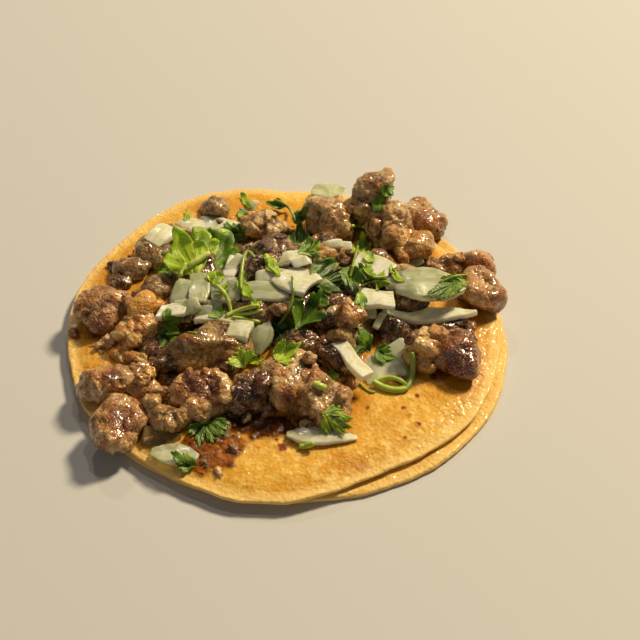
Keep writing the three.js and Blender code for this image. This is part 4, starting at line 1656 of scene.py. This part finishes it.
# Each stem: the pixels that it passes, its thickness in mm, its brightness and, for some, how pale
# it is.
STEMS = [
    dict(path=[(188, 267), (198, 260), (210, 253)], thick=2.0, bright=1.0, pale=0.85),
    dict(path=[(180, 278), (183, 270), (186, 263)], thick=1.5, bright=1.0, pale=0.5),
    dict(path=[(241, 290), (242, 268), (246, 253), (254, 257)], thick=1.1, bright=0.6),
    dict(path=[(216, 285), (226, 296), (231, 313)], thick=1.1, bright=1.0, pale=0.6),
    dict(path=[(226, 316), (240, 310), (259, 305)], thick=1.3, bright=0.9, pale=0.5),
    dict(path=[(229, 312), (243, 314), (262, 310)], thick=1.0, bright=0.9, pale=0.4),
    dict(path=[(232, 317), (246, 319), (260, 322)], thick=1.0, bright=0.95, pale=0.3),
    dict(path=[(292, 276), (293, 292), (289, 309), (278, 325)], thick=0.9, bright=0.5),
    dict(path=[(363, 268), (372, 276), (388, 276)], thick=0.6, bright=0.7),
    dict(path=[(362, 286), (376, 281), (390, 283)], thick=0.8, bright=0.6),
    dict(path=[(373, 381), (383, 387), (395, 390), (406, 388)], thick=1.9, bright=0.8),
    dict(path=[(375, 383), (388, 377), (400, 380), (408, 387)], thick=1.0, bright=0.85),
    dict(path=[(404, 391), (411, 380), (413, 367), (412, 352)], thick=1.7, bright=0.25),
    dict(path=[(360, 383), (367, 390), (375, 392)], thick=0.8, bright=0.7),
    dict(path=[(313, 383), (320, 386), (326, 388)], thick=1.9, bright=0.9, pale=0.5),
    dict(path=[(299, 446), (306, 446), (314, 443)], thick=1.7, bright=0.85),
    dict(path=[(274, 200), (288, 207), (295, 222)], thick=0.9, bright=0.5),
    dict(path=[(352, 226), (358, 226), (364, 227)], thick=1.3, bright=0.9),
    dict(path=[(444, 281), (455, 276), (467, 275)], thick=0.6, bright=0.7),
    dict(path=[(196, 333), (180, 333), (166, 334)], thick=0.9, bright=0.7),
    dict(path=[(350, 277), (354, 262), (358, 246)], thick=0.9, bright=0.6),
]


def smooth_path(points, steps):
    """A curve through given points, with an even number of steps."""
    points = np.array(points, float)
    knots = np.linspace(0, 1, len(points))
    fine = np.linspace(0, 1, steps)
    degree = min(3, len(points) - 1)
    columns = [np.polyval(np.polyfit(knots, column, degree), fine) for column in points.T]
    return np.stack(columns, axis=1)


def tube(path, radius):
    """Corners and faces of a round closed tube along a path."""
    way = np.gradient(path, axis=0)
    way /= np.linalg.norm(way, axis=1, keepdims=True)
    side = np.cross(way, np.array(TOWARD_CAMERA))
    side /= np.linalg.norm(side, axis=1, keepdims=True)
    up = np.cross(side, way)
    turns = np.arange(STEM_SIDES) / STEM_SIDES * math.tau
    ring = side[:, None] * np.cos(turns)[:, None] + up[:, None] * np.sin(turns)[:, None]
    corners = (path[:, None] + ring * radius[:, None, None]).reshape(-1, 3)
    return corners, ring_faces(len(path), STEM_SIDES)


def stem(path, thick, bright, pale=STEM_PALENESS):
    """A stem that lies on what the camera sees along a path of pixels, with its paint."""
    radius = thick / 2 * MM
    rays = [sight_line(pixel) for pixel in smooth_path(path, STEM_STEPS)]
    depth = np.array([first_surface(camera.location, ray)[2] for ray in rays]) - radius
    for _ in range(STEM_SMOOTHING):
        padded = np.pad(depth, 1, mode="edge")
        depth = np.minimum(depth, (padded[:-2] + padded[2:]) / 2)
    middle = np.array(camera.location) + np.array(rays) * depth[:, None]
    ends = np.linspace(-1, 1, STEM_STEPS)
    corners, faces = tube(middle, radius * (1 - STEM_TAPER * ends**STEM_BLUNT))
    alike = np.ones(len(corners))
    return corners, faces, dict(vein=pale * alike, bright=bright * alike)


STEM = coriander_material("coriander_stem", depth=0.02, roughness=0.3)
lay_joined("coriander_stems", [stem(**row) for row in STEMS], STEM, "coriander")

# ---- Floor and light ---------------------------------------------------------------------------
# A plain pale table top. A large warm lamp stands behind on the right, two small ones behind and
# above make the wet meat glisten, and a weaker wide one in front keeps the shadows soft.

FLOOR_REACH = 4  # how far it goes from the middle, in metres
FLOOR_GREY = (202, 203, 205)
ROOM_TINT = (255, 246, 235)
ROOM_LIGHT = 0.065
KEY_TINT = (255, 234, 192)
GLINT_TINT = (255, 240, 220)
FILL_TINT = (255, 240, 218)

# Each lamp: its place in metres, its size in metres, its power in watts and its tint.
LAMPS = {
    "key": ((1.0, 0.95, 1.35), 0.3, 45.5, KEY_TINT),
    "back glint": ((-0.24, 1.1, 1.0), 0.07, 2.4, GLINT_TINT),
    "top glint": ((0.3, 0.5, 1.4), 0.07, 2.0, GLINT_TINT),
    "fill": ((-0.4, -0.7, 0.6), 0.8, 0.8, FILL_TINT),
}

floor_mesh = bpy.data.meshes.new("floor")
floor_corners = [(-1, -1, 0), (1, -1, 0), (1, 1, 0), (-1, 1, 0)]
floor_mesh.from_pydata([FLOOR_REACH * Vector(at) for at in floor_corners], [], [(0, 1, 2, 3)])
floor_material = new_material("floor")
surface(floor_material.node_tree, Base_Color=colour(FLOOR_GREY), Roughness=0.7)
floor_mesh.materials.append(floor_material)
floor = bpy.data.objects.new("floor", floor_mesh)
bpy.context.scene.collection.objects.link(floor)

for name, (place, size, power, tint) in LAMPS.items():
    light = bpy.data.lights.new(name, "AREA")
    light.size = size
    light.energy = power
    light.color = colour(tint)[:3]
    lamp = bpy.data.objects.new(name, light)
    lamp.location = place
    lamp.rotation_euler = (-Vector(place)).to_track_quat("-Z", "Y").to_euler()
    bpy.context.scene.collection.objects.link(lamp)

world = bpy.data.worlds.new("studio")
world.use_nodes = True
background = world.node_tree.nodes["Background"]
background.inputs["Color"].default_value = colour(ROOM_TINT)
background.inputs["Strength"].default_value = ROOM_LIGHT
bpy.context.scene.world = world
bpy.context.scene.view_settings.view_transform = "Standard"
